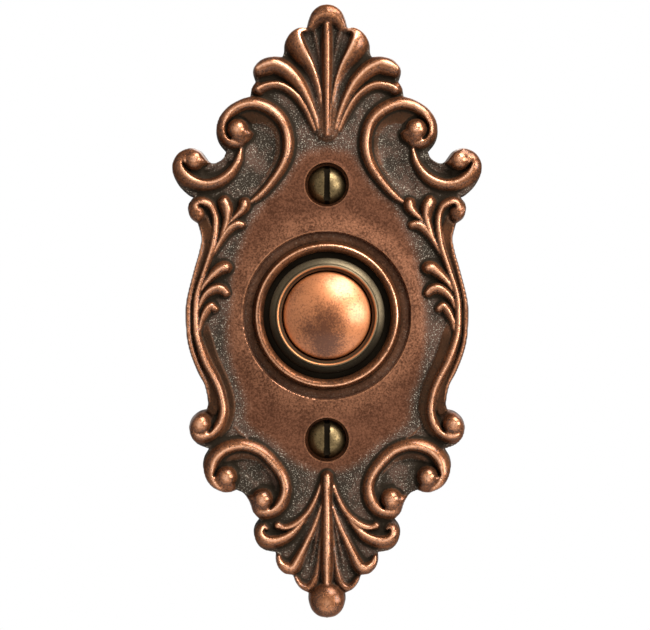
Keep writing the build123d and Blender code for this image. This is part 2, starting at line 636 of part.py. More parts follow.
# Contact leaf: a bent strip that the stem pushes down onto the rivet
strip_end = TERMINAL_X + TERMINAL_HEAD_R + STRIP_END_SPARE
leaf_bend = TERMINAL_X - TERMINAL_HEAD_R - LEAF_BEND_SPARE
with BuildPart() as contact_leaf:
    with BuildSketch(LATHE):
        with BuildLine():
            FilletPolyline(
                (-strip_end, WELL_FLOOR),
                (-leaf_bend, WELL_FLOOR),
                (-LEAF_FLAT, LEAF_BACK),
                (LEAF_FLAT, LEAF_BACK),
                radius=LEAF_BEND_R,
            )
            offset(amount=STRIP_THICKNESS, side=Side.LEFT)
        make_face()
    extrude(amount=STRIP_WIDTH / 2, both=True)
    with BuildSketch(wall_plane(LEAF_CONTACT_END)):
        Circle(LEAF_CONTACT_R)
    extrude(amount=LEAF_CONTACT_HEIGHT)
    with BuildSketch(wall_plane(WELL_FLOOR)):
        with Locations((-TERMINAL_X, 0)):
            Circle(TERMINAL_R + THREAD_CLEARANCE)
    extrude(amount=STRIP_THICKNESS, mode=Mode.SUBTRACT)
finish(contact_leaf.part, "contact_leaf")

# Contact strip: a flat strip on the floor of the well, with a hole for the rivet
with BuildPart() as contact_strip:
    with BuildSketch(wall_plane(WELL_FLOOR)):
        with Locations(((strip_end - LEAF_FLAT) / 2, 0)):
            Rectangle(strip_end + LEAF_FLAT, STRIP_WIDTH)
        with Locations((TERMINAL_X, 0)):
            Circle(TERMINAL_R + THREAD_CLEARANCE, mode=Mode.SUBTRACT)
        Circle(RIVET_SHANK_R + THREAD_CLEARANCE, mode=Mode.SUBTRACT)
    extrude(amount=STRIP_THICKNESS)
finish(contact_strip.part, "contact_strip")

# Contact rivet: a button of contact metal set in the strip
with BuildPart() as contact_rivet:
    with BuildSketch(wall_plane(WELL_FLOOR)):
        Circle(RIVET_SHANK_R)
    extrude(amount=STRIP_THICKNESS)
    with BuildSketch(wall_plane(STRIP_TOP)):
        Circle(RIVET_HEAD_R)
    extrude(amount=RIVET_HEAD_HEIGHT)
    chamfer(contact_rivet.edges().sort_by(Axis.Y)[0], RIVET_BEVEL)
finish(contact_rivet.part, "contact_rivet")

# Terminal screws, with a washer and a nut on each for the bell wires
terminal_screw = cheese_screw(
    seat=STRIP_TOP,
    way=-1,
    head_r=TERMINAL_HEAD_R,
    head=TERMINAL_HEAD,
    bevel=TERMINAL_BEVEL,
    shank_r=TERMINAL_R,
    length=STRIP_TOP - BASE_BACK + TERMINAL_TAIL,
    slot=TERMINAL_SLOT,
)
finish(placed_group(terminal_screw, TERMINAL_PLACES), "terminal_screws")

with BuildPart() as washer:
    with BuildSketch(wall_plane(WASHER_BACK)):
        Circle(WASHER_R)
        Circle(TERMINAL_R + THREAD_CLEARANCE, mode=Mode.SUBTRACT)
    extrude(amount=WASHER_THICKNESS)
finish(placed_group(washer.part, TERMINAL_PLACES), "terminal_washers")

with BuildPart() as nut:
    with BuildSketch(wall_plane(WASHER_BACK - NUT_THICKNESS)):
        RegularPolygon(NUT_ACROSS_FLATS / 2, 6, major_radius=False)
        Circle(TERMINAL_R + THREAD_CLEARANCE, mode=Mode.SUBTRACT)
    extrude(amount=NUT_THICKNESS)
finish(placed_group(nut.part, TERMINAL_PLACES), "terminal_nuts")
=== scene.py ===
"""Looks of a doorbell push button: a cast scrollwork plate in antique copper with a domed button.

Lengths in the classes are millimetres, and MM turns them into Blender's metres. The wall is the
plane y = 0, +Z is up and the front faces -Y. A projection is a distance in front of the wall.
"""

import logging
import math
from dataclasses import dataclass
from enum import Enum
from functools import cache
from typing import Callable, Iterable, Sequence, Union

import bmesh
import bpy
import numpy as np
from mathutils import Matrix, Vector
from mathutils.geometry import tessellate_polygon


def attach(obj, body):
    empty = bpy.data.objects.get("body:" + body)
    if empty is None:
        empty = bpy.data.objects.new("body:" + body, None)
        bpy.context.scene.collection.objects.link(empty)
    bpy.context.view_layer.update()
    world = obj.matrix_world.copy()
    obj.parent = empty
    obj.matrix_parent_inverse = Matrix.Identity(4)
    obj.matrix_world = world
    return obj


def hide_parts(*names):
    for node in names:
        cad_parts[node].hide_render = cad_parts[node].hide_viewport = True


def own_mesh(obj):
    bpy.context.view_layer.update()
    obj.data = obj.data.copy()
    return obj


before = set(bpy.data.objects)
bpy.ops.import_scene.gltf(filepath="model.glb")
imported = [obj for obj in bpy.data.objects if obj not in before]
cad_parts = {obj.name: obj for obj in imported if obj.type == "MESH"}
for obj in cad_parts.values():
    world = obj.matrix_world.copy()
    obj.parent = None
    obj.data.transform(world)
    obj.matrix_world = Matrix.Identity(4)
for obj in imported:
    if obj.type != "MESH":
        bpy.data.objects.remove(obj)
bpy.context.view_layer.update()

LOG = logging.getLogger("doorbell")
MM = 0.001
# Angles in degrees above which an edge is sharp: as a rule, on turned pieces, and to be bevelled
SHARP = 40.0
SHARP_TURNED = 50.0
SHARP_CUT = 50.0
PLATE_BODY = "plate"
BUTTON_BODY = "button"
# Places and seat of the mounting screws, and place of the terminals on both sides of the button's axis
SCREW_Z = (27.0, -25.6)
SCREW_SEAT = 3.6
TERMINAL_X = 6.6

Point = tuple[float, float]
Triple = tuple[float, float, float]
Course = tuple[Triple, ...]
Colour = Triple
Array = np.ndarray
Piece = bpy.types.Object
Material = bpy.types.Material
Cell = tuple[int, int]
Loop = list[int]


def smooth_step(low: float, high: float, value: Array) -> Array:
    """Ease values from 0 at low to 1 at high."""
    share = np.clip((value - low) / (high - low), 0.0, 1.0)
    return share * share * (3.0 - 2.0 * share)


def melt(first: Array, second: Array, fillet: float) -> Array:
    """Join two height fields at their higher surface, with a fillet of some reach in the crease."""
    blend = np.maximum(fillet - np.abs(first - second), 0.0) / fillet
    return np.maximum(first, second) + blend * blend * fillet / 4.0


def soften(field: Array, weight: Array, reach: float) -> Array:
    """Average a grid of values over its neighbourhood, where the weight is above zero.

    Args:
        field: The values.
        weight: The weight of each value.
        reach: Standard deviation of the average, in cells.

    Returns:
        The averaged values.
    """
    taps = np.arange(-int(3 * reach), int(3 * reach) + 1)
    kernel = np.exp(-0.5 * (taps / reach) ** 2)

    def blur(values: Array) -> Array:
        """Average along both axes."""
        rows = np.apply_along_axis(np.convolve, 0, values, kernel, "same")
        return np.apply_along_axis(np.convolve, 1, rows, kernel, "same")

    return blur(field * weight) / np.maximum(blur(weight), 1e-6)


def smooth_line(points: Sequence[Sequence[float]], step: float) -> Array:
    """Sample a Catmull-Rom curve through points.

    Args:
        points: The points, of any dimension; the first two values are a place.
        step: Longest distance between samples.

    Returns:
        The samples, one a row.
    """
    knots = np.array(points, float)
    padded = np.vstack([2 * knots[0] - knots[1], knots, 2 * knots[-1] - knots[-2]])
    rows = []
    for before, start, end, after in zip(padded, padded[1:], padded[2:], padded[3:]):
        count = max(2, math.ceil(np.hypot(*(end - start)[:2]) / step))
        t = np.linspace(0.0, 1.0, count, endpoint=False)[:, None]
        cubic = (3 * (start - end) + after - before) * t**3
        square = (2 * before - 5 * start + 4 * end - after) * t**2
        rows.append(start + 0.5 * ((end - before) * t + square + cubic))
    return np.vstack([*rows, knots[-1:]])


def full_turn(count: int) -> list[float]:
    """Angles of so many vertices round a full turn."""
    return [2 * math.pi * i / count for i in range(count)]


def cap_profile(radius: float, height: float, top: float, rows: int) -> list[Point]:
    """Profile of a spherical cap.

    Args:
        radius: Radius of its rim.
        height: Height of the cap.
        top: Projection of its pole.
        rows: Steps from the pole to the rim.

    Returns:
        The profile as (radius, projection), the pole first.
    """
    ball = (radius**2 + height**2) / (2 * height)
    spread = math.asin(radius / ball)
    angles = [spread * i / rows for i in range(rows + 1)]
    return [(ball * math.sin(a), top - ball * (1 - math.cos(a))) for a in angles]


def round_corners(
    points: Sequence[Point], radius: float, steps: int = 4, most: float = 0.45
) -> list[Point]:
    """Round the inner corners of a profile.

    Args:
        points: Corners of the profile.
        radius: Most that a corner is cut back along each side.
        steps: Pieces of each round.
        most: Share of a side that a round may take.

    Returns:
        The profile with its corners rounded.
    """
    line = [Vector(point) for point in points]
    rounded = [tuple(line[0])]
    for before, corner, after in zip(line, line[1:], line[2:]):
        back = min(radius, most * (corner - before).length)
        ahead = min(radius, most * (after - corner).length)
        start = corner + (before - corner).normalized() * back
        end = corner + (after - corner).normalized() * ahead
        for step in range(steps + 1):
            t = step / steps
            rounded.append(tuple(start * (1 - t) ** 2 + corner * 2 * t * (1 - t) + end * t * t))
    rounded.append(tuple(line[-1]))
    return rounded


class Section(Enum):
    """Fall of a ridge from its crest, as the two powers of (1 - share ** p) ** q."""

    ROUND = (2.0, 0.5)
    BAND = (1.7, 0.7)
    FIN = (1.25, 1.0)
    PLINTH = (9.0, 0.4)


@dataclass
class Relief:
    """Ornament under the chisel, as heights above its ground."""

    x: Array
    z: Array
    height: Array  # Heights above the ground, far below 0 where nothing is carved yet
    crest: Array  # How near each place is to the crest it belongs to, from 0 to 1
    # Heights over the rest where a new form's crest starts to count and counts fully
    fade: Point = (-0.25, 0.15)

    def add(self, near: Array, rise: Array, crest: Array, fillet: float) -> None:
        """Join a form to the relief.

        Args:
            near: Which places the form reaches.
            rise: Its heights at those places.
            crest: How near those places are to its crest.
            fillet: Reach of the fillet where it meets the rest.
        """
        before = self.height[near]
        ahead = smooth_step(*self.fade, rise - before)
        self.crest[near] = self.crest[near] * (1.0 - ahead) + np.clip(crest, 0.0, 1.0) * ahead
        self.height[near] = melt(before, rise, fillet)


@dataclass(frozen=True)
class Stroke:
    """Carved ridge whose crest follows a course of (x, z, half width) on the right half."""

    course: Course
    section: Section = Section.BAND
    proud: float = 1.25  # Height of the crest as a share of the half width
    # Widths left and right of the crest's first point, as shares of the half width
    start: Point = (1.0, 1.0)
    end: Point = (1.0, 1.0)  # The same at its last point
    bright: float = 0.9  # How far the crest is worn bright, from 0 to 1
    fillet: float = 0.16
    step: float = 0.35  # Longest distance between samples of the crest line
    margin: float = 4.5  # How far from its course the ridge may reach
    fall: float = 1.3  # How steeply the ridge goes on below its foot

    def place(self, x: Array, z: Array) -> tuple[Array, Array]:
        """Measure places against the ridge.

        Args:
            x: Places across.
            z: Places up.

        Returns:
            The share of the way from the crest to the foot, and the half width there.
        """
        line = smooth_line(self.course, self.step)
        head, tail = line[:-1], line[1:]
        way = (tail - head)[:, :2]
        length = np.maximum(np.hypot(way[:, 0], way[:, 1]), 1e-6)
        way = way / length[:, None]
        from_x = x[:, None] - head[None, :, 0]
        from_z = z[:, None] - head[None, :, 1]
        along = from_x * way[:, 0] + from_z * way[:, 1]
        held = np.clip(along, 0.0, length)
        gap = (from_x - held * way[:, 0]) ** 2 + (from_z - held * way[:, 1]) ** 2
        pick = gap.argmin(1)
        row = np.arange(len(x))
        side = way[pick, 0] * from_z[row, pick] - way[pick, 1] * from_x[row, pick]
        beyond = along[row, pick] - held[row, pick]
        share = held[row, pick] / length[pick]
        width = head[pick, 2] + share * (tail[pick, 2] - head[pick, 2])
        progress = (pick + share) / len(head)
        left = self.start[0] + progress * (self.end[0] - self.start[0])
        right = self.start[1] + progress * (self.end[1] - self.start[1])
        across = np.abs(side) / (width * np.where(side > 0, left, right))
        return np.hypot(across, beyond / width), width

    def near(self, relief: Relief) -> Array:
        """Places that the ridge may reach.

        Args:
            relief: The relief that holds the places.

        Returns:
            Whether each place is near.
        """
        low = np.min(self.course, axis=0) - self.margin
        high = np.max(self.course, axis=0) + self.margin
        across = (relief.x > low[0]) & (relief.x < high[0])
        return across & (relief.z > low[1]) & (relief.z < high[1])

    def carve(self, relief: Relief) -> None:
        """Set the ridge on a relief.

        Args:
            relief: The relief to carve.
        """
        near = self.near(relief)
        share, width = self.place(relief.x[near], relief.z[near])
        first, second = self.section.value
        inside = self.proud * width * np.maximum(1.0 - np.minimum(share, 1.0) ** first, 0.0) ** second
        rise = np.where(share < 1.0, inside, -self.fall * (share - 1.0) * width)
        relief.add(near, rise, self.bright * (1.0 - share), self.fillet)


@dataclass(frozen=True)
class Hollow:
    """Scooped channel that follows a course of (x, z, half width)."""

    course: Course
    depth: float
    edge: float = 0.6  # Share of the half width that the sloping side takes

    def drop(self, x: Array, z: Array) -> Array:
        """Depth of the scoop at places, 0 outside it."""
        share, _ = Stroke(self.course).place(x, z)
        return self.depth * (1.0 - smooth_step(1.0 - self.edge, 1.0, share))


@dataclass(frozen=True)
class Ball:
    """Carved ball, with a groove round it that stops at the neck where its scroll runs in."""

    x: float
    z: float
    radius: float
    proud: float = 1.1  # Height of its top as a share of the radius
    neck: float = math.nan  # Direction of the neck in degrees, not a number where there is none
    neck_spread: float = 55.0  # Half the angle that the neck takes
    neck_ease: float = 0.7  # Share of that angle where the groove starts to open
    neck_reach: float = 1.5  # How far the neck reaches from the ball's middle, in radii
    neck_proud: float = 0.8  # Height of the neck as a share of the ball's
    neck_bright: float = 0.6
    groove_depth: float = 1.1
    groove_width: float = 0.28
    groove_gap: float = 0.1  # Distance of the groove's middle from the ball
    groove_floor: float = -0.1  # Lowest height that the groove is cut to
    bright: float = 0.84
    fillet: float = 0.15
    span: float = 2.5  # Reach of the carving in radii
    fall: float = 2.0  # How steeply ball and neck go on below their foot

    def carve(self, relief: Relief) -> None:
        """Cut the groove into a relief and set the ball on it.

        Args:
            relief: The relief to carve.
        """
        away = np.hypot(relief.x - self.x, relief.z - self.z)
        near = away < self.span * self.radius
        share = away[near] / self.radius
        if not math.isnan(self.neck):
            self.join(relief, near, share)
        dome = self.proud * self.radius * np.sqrt(np.maximum(1.0 - share**2, 0.0))
        rise = np.where(share < 1.0, dome, -self.fall * (share - 1.0) * self.radius)
        relief.add(near, rise, self.bright * (1.0 - share**2), self.fillet)

    def join(self, relief: Relief, near: Array, share: Array) -> None:
        """Cut the groove round the ball and fill the neck.

        Args:
            relief: The relief to carve.
            near: Which places the ball reaches.
            share: Distance of those places from its middle, in radii.
        """
        bearing = np.degrees(np.arctan2(relief.z[near] - self.z, relief.x[near] - self.x)) - self.neck
        turn = np.abs((bearing + 180.0) % 360.0 - 180.0)
        groove = smooth_step(self.neck_ease * self.neck_spread, self.neck_spread, turn)
        away = (share - 1.0) * self.radius - self.groove_gap
        ring = np.exp(-((away / self.groove_width) ** 2)) * groove
        before = relief.height[near]
        cut = before - self.groove_depth * ring
        relief.height[near] = np.maximum(cut, np.minimum(before, self.groove_floor))
        relief.crest[near] *= 1.0 - ring
        reach = 1.0 + (self.neck_reach - 1.0) * (1.0 - groove)
        bulge = np.sqrt(np.maximum(1.0 - (share / reach) ** 2, 0.0))
        beyond = self.fall * np.maximum(share - reach, 0.0) * self.radius
        fill = self.neck_proud * self.proud * self.radius * bulge - beyond
        relief.add(near, fill, self.neck_bright * bulge, self.fillet)


# Right half of the silhouette, from the top round to the bottom, one stretch for each lobe or hollow
SILHOUETTE: tuple[tuple[Point, ...], ...] = (
    ((0.0, 64.4), (1.6, 64.05), (3.1, 62.85), (3.85, 61.2), (4.25, 59.55)),
    ((4.25, 59.55), (5.9, 59.55), (7.6, 58.5), (8.75, 56.6), (8.95, 54.6), (9.25, 53.55)),
    ((9.25, 53.55), (11.4, 53.6), (13.6, 52.95), (15.1, 51.5), (15.35, 50.2), (14.8, 48.4)),
    ((14.8, 48.4), (15.65, 47.0), (15.9, 45.35)),
    ((15.9, 45.35), (17.9, 44.75), (20.5, 43.25), (22.4, 40.9), (23.0, 38.3), (22.5, 35.9), (20.95, 33.9)),
    ((20.95, 33.9), (21.6, 32.5), (23.3, 31.55), (24.4, 31.9), (25.0, 32.7)),
    (
        (25.0, 32.7), (26.2, 34.1), (28.3, 34.7), (30.7, 33.7), (32.0, 31.6), (31.95, 29.4),
        (30.7, 26.9), (28.9, 25.1), (27.7, 24.5),
    ),
    ((27.7, 24.5), (28.7, 23.1), (28.8, 21.6), (28.2, 20.1), (26.8, 19.1)),
    (
        (26.8, 19.1), (26.1, 16.0), (26.6, 13.0), (27.6, 9.5), (29.1, 3.5), (29.35, 0.0), (29.1, -4.5),
        (28.3, -8.0), (26.8, -11.8), (25.4, -14.5), (24.7, -18.0), (25.0, -19.5),
    ),
    (
        (25.0, -19.5), (26.6, -19.95), (28.0, -21.2), (28.6, -23.1), (28.1, -25.2), (26.7, -26.7),
        (24.5, -27.6),
    ),
    (
        (24.5, -27.6), (25.5, -29.4), (25.7, -31.4), (25.1, -33.8), (23.7, -35.6), (21.4, -36.65),
        (19.9, -36.6), (18.7, -36.15),
    ),
    ((18.7, -36.15), (17.3, -36.8), (16.3, -38.2), (15.8, -39.4)),
    ((15.8, -39.4), (15.3, -40.8), (14.0, -42.2)),
    ((14.0, -42.2), (15.0, -43.6), (15.2, -45.2), (14.5, -47.2), (13.0, -48.5), (10.6, -49.0)),
    ((10.6, -49.0), (10.65, -50.7), (10.1, -52.2), (8.8, -53.4), (7.1, -53.7)),
    ((7.1, -53.7), (6.5, -55.3), (5.4, -56.6), (3.8, -57.4)),
    ((3.8, -57.4), (3.85, -59.0), (3.2, -60.9), (1.8, -62.15), (0.0, -62.55)),
)

# Right half of the hollow back, from top to bottom
HOLLOW_EDGE: tuple[Point, ...] = (
    (0.0, 55.5), (9.0, 48.5), (16.5, 40.0), (18.6, 35.0), (20.8, 29.5), (22.8, 20.0), (24.4, 10.0),
    (26.0, 0.5), (24.6, -9.0), (22.2, -17.0), (21.2, -25.5), (16.5, -34.0), (10.5, -42.0), (6.0, -49.0),
    (0.0, -54.5),
)

# Right half of the smooth field between the scrolls, from top to bottom
FIELD_EDGE: tuple[Point, ...] = (
    (0.0, 34.5), (4.5, 33.5), (6.8, 30.5), (9.8, 26.0), (13.8, 22.0), (16.8, 16.5), (19.0, 9.5),
    (20.0, 2.0), (20.4, -4.5), (19.2, -11.0), (17.0, -17.0), (16.4, -22.0), (11.5, -26.0), (7.2, -29.4),
    (4.0, -31.4), (0.0, -32.4),
)

# Crests of the C-scrolls and S-scrolls and of the stems' outer border, from top to bottom
SCROLLS: tuple[Stroke, ...] = (
    Stroke((
        (17.5, 35.8, 0.9), (18.8, 35.7, 1.2), (20.0, 36.2, 1.35), (20.9, 37.4, 1.4), (21.1, 38.8, 1.4),
        (20.8, 40.4, 1.4), (19.7, 42.0, 1.4), (17.7, 43.2, 1.4), (15.3, 43.6, 1.4), (12.9, 43.0, 1.4),
        (10.7, 41.6, 1.4), (9.1, 39.7, 1.35), (8.3, 37.4, 1.3), (8.1, 35.2, 1.3), (8.4, 33.0, 1.25),
        (9.3, 30.7, 1.2), (10.7, 28.5, 1.1), (12.5, 26.2, 1.0), (14.1, 24.6, 0.9), (15.6, 23.5, 0.6),
    ), start=(1.0, 1.3), end=(0.95, 1.1)),
    Stroke((
        (17.7, 34.4, 0.5), (18.0, 33.2, 0.8), (18.4, 31.9, 1.0), (19.3, 30.3, 1.1), (20.6, 28.9, 1.2),
        (22.4, 27.8, 1.25), (24.4, 27.3, 1.25), (26.4, 27.5, 1.3), (28.2, 28.4, 1.4), (29.4, 29.6, 1.5),
        (29.8, 30.9, 1.6), (29.2, 31.8, 1.6), (28.2, 31.7, 1.2),
    ), start=(0.8, 1.1), end=(0.8, 1.7)),
    Stroke((
        (26.5, 21.4, 0.9), (27.0, 22.1, 1.05), (26.8, 22.9, 1.05), (25.7, 23.3, 1.05), (24.2, 22.7, 0.95),
        (23.4, 21.4, 0.85), (23.0, 19.7, 0.85), (23.1, 17.3, 0.85), (23.6, 14.4, 0.85), (24.6, 11.2, 0.8),
        (25.9, 7.4, 0.8), (26.8, 4.4, 0.85), (27.1, 1.4, 0.9), (27.0, -3.2, 0.95), (26.2, -6.4, 1.05),
        (25.0, -9.6, 1.15), (23.5, -12.4, 1.15), (22.3, -15.0, 1.1), (21.6, -17.6, 1.05),
        (21.4, -19.9, 1.1), (22.0, -22.2, 1.2), (23.3, -23.8, 1.35), (24.9, -24.6, 1.5), (26.4, -24.6, 1.5),
        (27.4, -23.9, 1.2),
    ), proud=1.35, start=(0.9, 1.3), end=(1.0, 1.15)),
    Stroke((
        (26.0, 18.2, 0.5), (25.6, 16.0, 0.65), (26.0, 13.0, 0.75), (27.0, 9.4, 0.75), (28.3, 4.0, 0.75),
        (28.65, 0.0, 0.75), (28.4, -4.4, 0.75), (27.6, -7.9, 0.75), (26.1, -11.6, 0.7), (24.8, -14.4, 0.6),
        (24.1, -17.8, 0.5),
    ), section=Section.ROUND, proud=1.15, start=(1.1, 0.95), end=(1.1, 0.95), bright=0.85),
    Stroke((
        (20.2, -35.4, 0.9), (21.5, -35.4, 1.2), (22.6, -34.8, 1.35), (23.4, -33.6, 1.4), (23.6, -31.9, 1.4),
        (23.0, -29.7, 1.35), (21.4, -28.0, 1.3), (19.6, -27.2, 1.25), (17.7, -26.9, 1.2),
        (15.8, -27.2, 1.15), (13.9, -28.0, 1.15), (12.2, -29.4, 1.15), (10.6, -31.2, 1.15),
        (9.4, -33.1, 1.15), (8.8, -35.0, 1.15), (8.9, -36.9, 1.2), (9.6, -38.5, 1.3), (10.8, -39.7, 1.35),
        (12.2, -40.2, 1.35), (13.6, -40.1, 1.3), (14.7, -39.4, 1.1),
    ), start=(1.0, 1.5), end=(0.95, 1.4)),
)

# Low smooth steps inside the large C-scrolls
PLINTHS: tuple[Stroke, ...] = tuple(
    Stroke(course, section=Section.PLINTH, proud=0.1, start=(1.0, 0.2), end=(1.0, 0.2), bright=0.0)
    for course in (
        (
            (17.7, 43.2, 3.6), (15.3, 43.6, 4.2), (12.9, 43.0, 3.8), (10.7, 41.6, 3.2), (9.1, 39.7, 2.8),
            (8.3, 37.4, 2.6), (8.1, 35.2, 2.5), (8.4, 33.0, 2.4), (9.3, 30.7, 2.2), (10.7, 28.5, 2.0),
            (12.5, 26.2, 1.8), (15.0, 24.0, 1.2),
        ),
        (
            (21.4, -28.0, 2.4), (19.6, -27.2, 2.6), (17.7, -26.9, 2.6), (15.8, -27.2, 2.4),
            (13.9, -28.0, 2.2), (12.2, -29.4, 1.9), (10.6, -31.2, 1.7), (9.4, -33.1, 1.6),
            (8.8, -35.0, 1.5), (8.9, -36.9, 1.5),
        ),
    )
)

# Smooth steps beside the stems, outside and inside
STEPS: tuple[Stroke, ...] = tuple(
    Stroke(course, section=Section.PLINTH, proud=0.4, start=(1.5, 1.0), end=(1.5, 1.0), bright=0.0)
    for course in (
        (
            (25.3, -0.6, 0.25), (24.8, -2.6, 0.6), (24.4, -4.9, 0.95), (23.5, -8.4, 1.1),
            (22.1, -11.6, 1.1), (21.0, -14.1, 1.1), (20.2, -16.8, 1.1), (20.0, -18.9, 1.1),
            (20.3, -20.8, 1.1), (21.2, -22.9, 1.1), (22.4, -24.2, 1.0),
        ),
        ((25.4, 19.6, 1.0), (24.7, 17.0, 1.4), (24.9, 14.0, 1.3), (25.7, 11.0, 1.1), (26.8, 7.5, 0.9)),
        ((25.6, -10.5, 0.9), (24.3, -14.0, 1.1), (23.6, -17.0, 1.3), (23.8, -19.4, 1.3)),
    )
)

# Crests of the acanthus leaves at the upper ends of the stems
LEAVES: tuple[Stroke, ...] = (
    Stroke((
        (21.1, 23.6, 1.3), (20.6, 22.6, 1.45), (20.4, 21.2, 1.3), (20.5, 19.6, 1.05), (21.1, 17.6, 0.9),
        (22.1, 15.0, 0.75), (23.6, 12.4, 0.5),
    ), start=(1.35, 0.95), end=(1.0, 1.0)),
    Stroke((
        (17.0, 23.1, 1.4), (17.1, 22.4, 1.4), (17.7, 21.5, 1.15), (18.6, 20.6, 0.9), (19.6, 19.6, 0.7),
        (20.6, 18.2, 0.5),
    )),
    Stroke((
        (17.4, 18.8, 0.9), (18.4, 19.0, 1.1), (19.6, 18.5, 1.1), (21.0, 17.0, 0.95), (22.4, 14.7, 0.75),
        (23.8, 12.2, 0.5),
    ), start=(0.8, 1.35), end=(0.8, 1.2)),
    Stroke((
        (20.8, 9.9, 1.45), (21.6, 9.8, 1.5), (22.9, 8.9, 1.35), (24.2, 7.6, 1.1), (25.4, 6.1, 0.8),
        (26.3, 4.5, 0.5),
    )),
    Stroke((
        (20.6, 4.8, 1.05), (21.4, 5.6, 1.25), (22.7, 5.9, 1.3), (24.1, 5.3, 1.2), (25.4, 4.0, 0.95),
        (26.2, 2.2, 0.7), (26.8, 0.2, 0.5),
    ), start=(0.7, 1.35), end=(0.8, 1.1)),
    Stroke((
        (22.9, 1.5, 0.9), (23.8, 2.2, 1.05), (24.8, 1.4, 1.1), (25.7, -0.4, 0.9), (26.2, -2.4, 0.7),
        (26.5, -4.4, 0.5),
    ), start=(0.7, 1.35), end=(0.8, 1.1)),
)

# Petals of the two palmettes, the upper one first
PETALS: tuple[Stroke, ...] = (
    Stroke((
        (0.0, 61.5, 1.6), (0.0, 56.0, 1.2), (0.0, 50.0, 1.6), (0.0, 45.0, 2.4), (0.0, 41.5, 2.9),
        (0.0, 39.4, 2.8), (0.0, 38.2, 2.5),
    ), section=Section.ROUND, proud=0.3, bright=0.0, fillet=0.4),
    Stroke((
        (4.0, 58.7, 0.6), (5.1, 58.6, 1.0), (5.7, 57.7, 1.5), (5.35, 56.2, 1.75), (4.3, 54.0, 1.65),
        (3.2, 52.0, 1.3), (2.25, 49.5, 0.95), (1.65, 47.2, 0.8), (1.2, 44.5, 0.65), (1.0, 41.5, 0.5),
    ), start=(2.1, 0.6), end=(1.3, 0.7)),
    Stroke((
        (14.3, 50.9, 1.5), (12.8, 51.6, 1.8), (11.1, 52.0, 1.85), (9.3, 51.4, 1.75), (7.6, 50.2, 1.7),
        (5.8, 48.2, 1.55), (4.4, 45.8, 1.3), (3.3, 43.4, 1.1), (2.4, 40.9, 0.9), (1.75, 38.5, 0.7),
    ), proud=1.2, start=(1.45, 0.95), end=(1.0, 0.9)),
    Stroke((
        (14.2, 46.7, 1.3), (13.4, 47.2, 1.2), (12.2, 47.6, 1.1), (10.6, 47.8, 1.05), (8.9, 47.4, 1.0),
        (7.15, 46.3, 0.95), (5.6, 44.7, 0.9), (4.3, 42.6, 0.8), (3.2, 40.3, 0.7), (2.4, 38.2, 0.55),
    ), start=(1.3, 0.7), end=(1.5, 0.7)),
    Stroke((
        (2.9, 59.2, 0.6), (2.5, 57.6, 0.7), (2.0, 55.4, 0.6), (1.6, 53.2, 0.5), (1.3, 51.0, 0.4),
    ), section=Section.FIN, proud=0.9, bright=0.42),
    Stroke((
        (0.0, 62.0, 2.4), (1.3, 61.8, 2.2), (2.5, 60.9, 1.8), (3.3, 59.4, 1.3),
    ), section=Section.ROUND, proud=0.85, bright=0.78),
    Stroke((
        (10.1, -43.3, 0.8), (8.7, -43.7, 0.9), (7.0, -43.2, 0.95), (5.4, -42.1, 0.9), (3.9, -40.5, 0.85),
        (2.7, -38.5, 0.8), (1.8, -36.4, 0.7), (1.1, -34.2, 0.55),
    )),
    Stroke((
        (12.4, -44.0, 0.5), (13.0, -43.7, 0.8), (13.5, -44.3, 1.1), (13.1, -45.5, 1.4), (11.9, -46.1, 1.5),
        (9.9, -45.9, 1.4), (7.8, -45.0, 1.2), (6.1, -43.6, 0.9), (4.6, -41.8, 0.6),
    ), start=(1.4, 0.65), end=(1.3, 0.75)),
    Stroke((
        (9.9, -49.8, 0.8), (9.2, -51.0, 1.2), (8.1, -51.8, 1.4), (7.1, -51.7, 1.4), (6.3, -50.6, 1.3),
        (5.1, -48.4, 1.1), (3.9, -46.0, 0.95), (2.7, -43.5, 0.8), (1.6, -40.6, 0.65), (0.9, -38.3, 0.5),
    ), start=(1.4, 0.8), end=(1.0, 1.0)),
    Stroke((
        (6.4, -54.0, 0.7), (5.6, -55.3, 1.1), (4.3, -56.0, 1.2), (3.2, -55.4, 1.1), (2.5, -54.0, 0.9),
        (2.0, -52.0, 0.7), (1.6, -49.0, 0.6), (1.3, -45.0, 0.45),
    ), start=(1.4, 0.8), end=(0.8, 1.0), bright=0.7),
    Stroke((
        (3.4, -51.0, 0.4), (2.7, -48.2, 0.6), (2.0, -44.8, 0.6), (1.3, -41.5, 0.5),
    ), section=Section.FIN, proud=1.0, bright=0.5),
)

# Middle ribs of the palmettes
RIBS: tuple[Stroke, ...] = (
    Stroke((
        (0.0, 61.2, 1.0), (0.0, 58.4, 1.3), (0.0, 54.0, 1.35), (0.0, 49.0, 1.25), (0.0, 44.0, 1.1),
        (0.0, 40.0, 0.95), (0.0, 37.2, 0.8),
    ), proud=1.45, bright=0.78),
    Stroke((
        (0.0, -33.2, 1.4), (0.0, -35.0, 1.5), (0.0, -38.5, 1.35), (0.0, -44.0, 1.45), (0.0, -50.0, 1.6),
        (0.0, -54.0, 1.3), (0.0, -56.6, 0.9),
    ), proud=1.3),
)

# Thin border between a lower C-scroll and the field
BORDERS: tuple[Stroke, ...] = (
    Stroke((
        (16.4, -25.3, 0.3), (17.9, -24.3, 0.35), (19.1, -23.0, 0.3),
    ), section=Section.FIN, proud=0.9, bright=0.9),
)

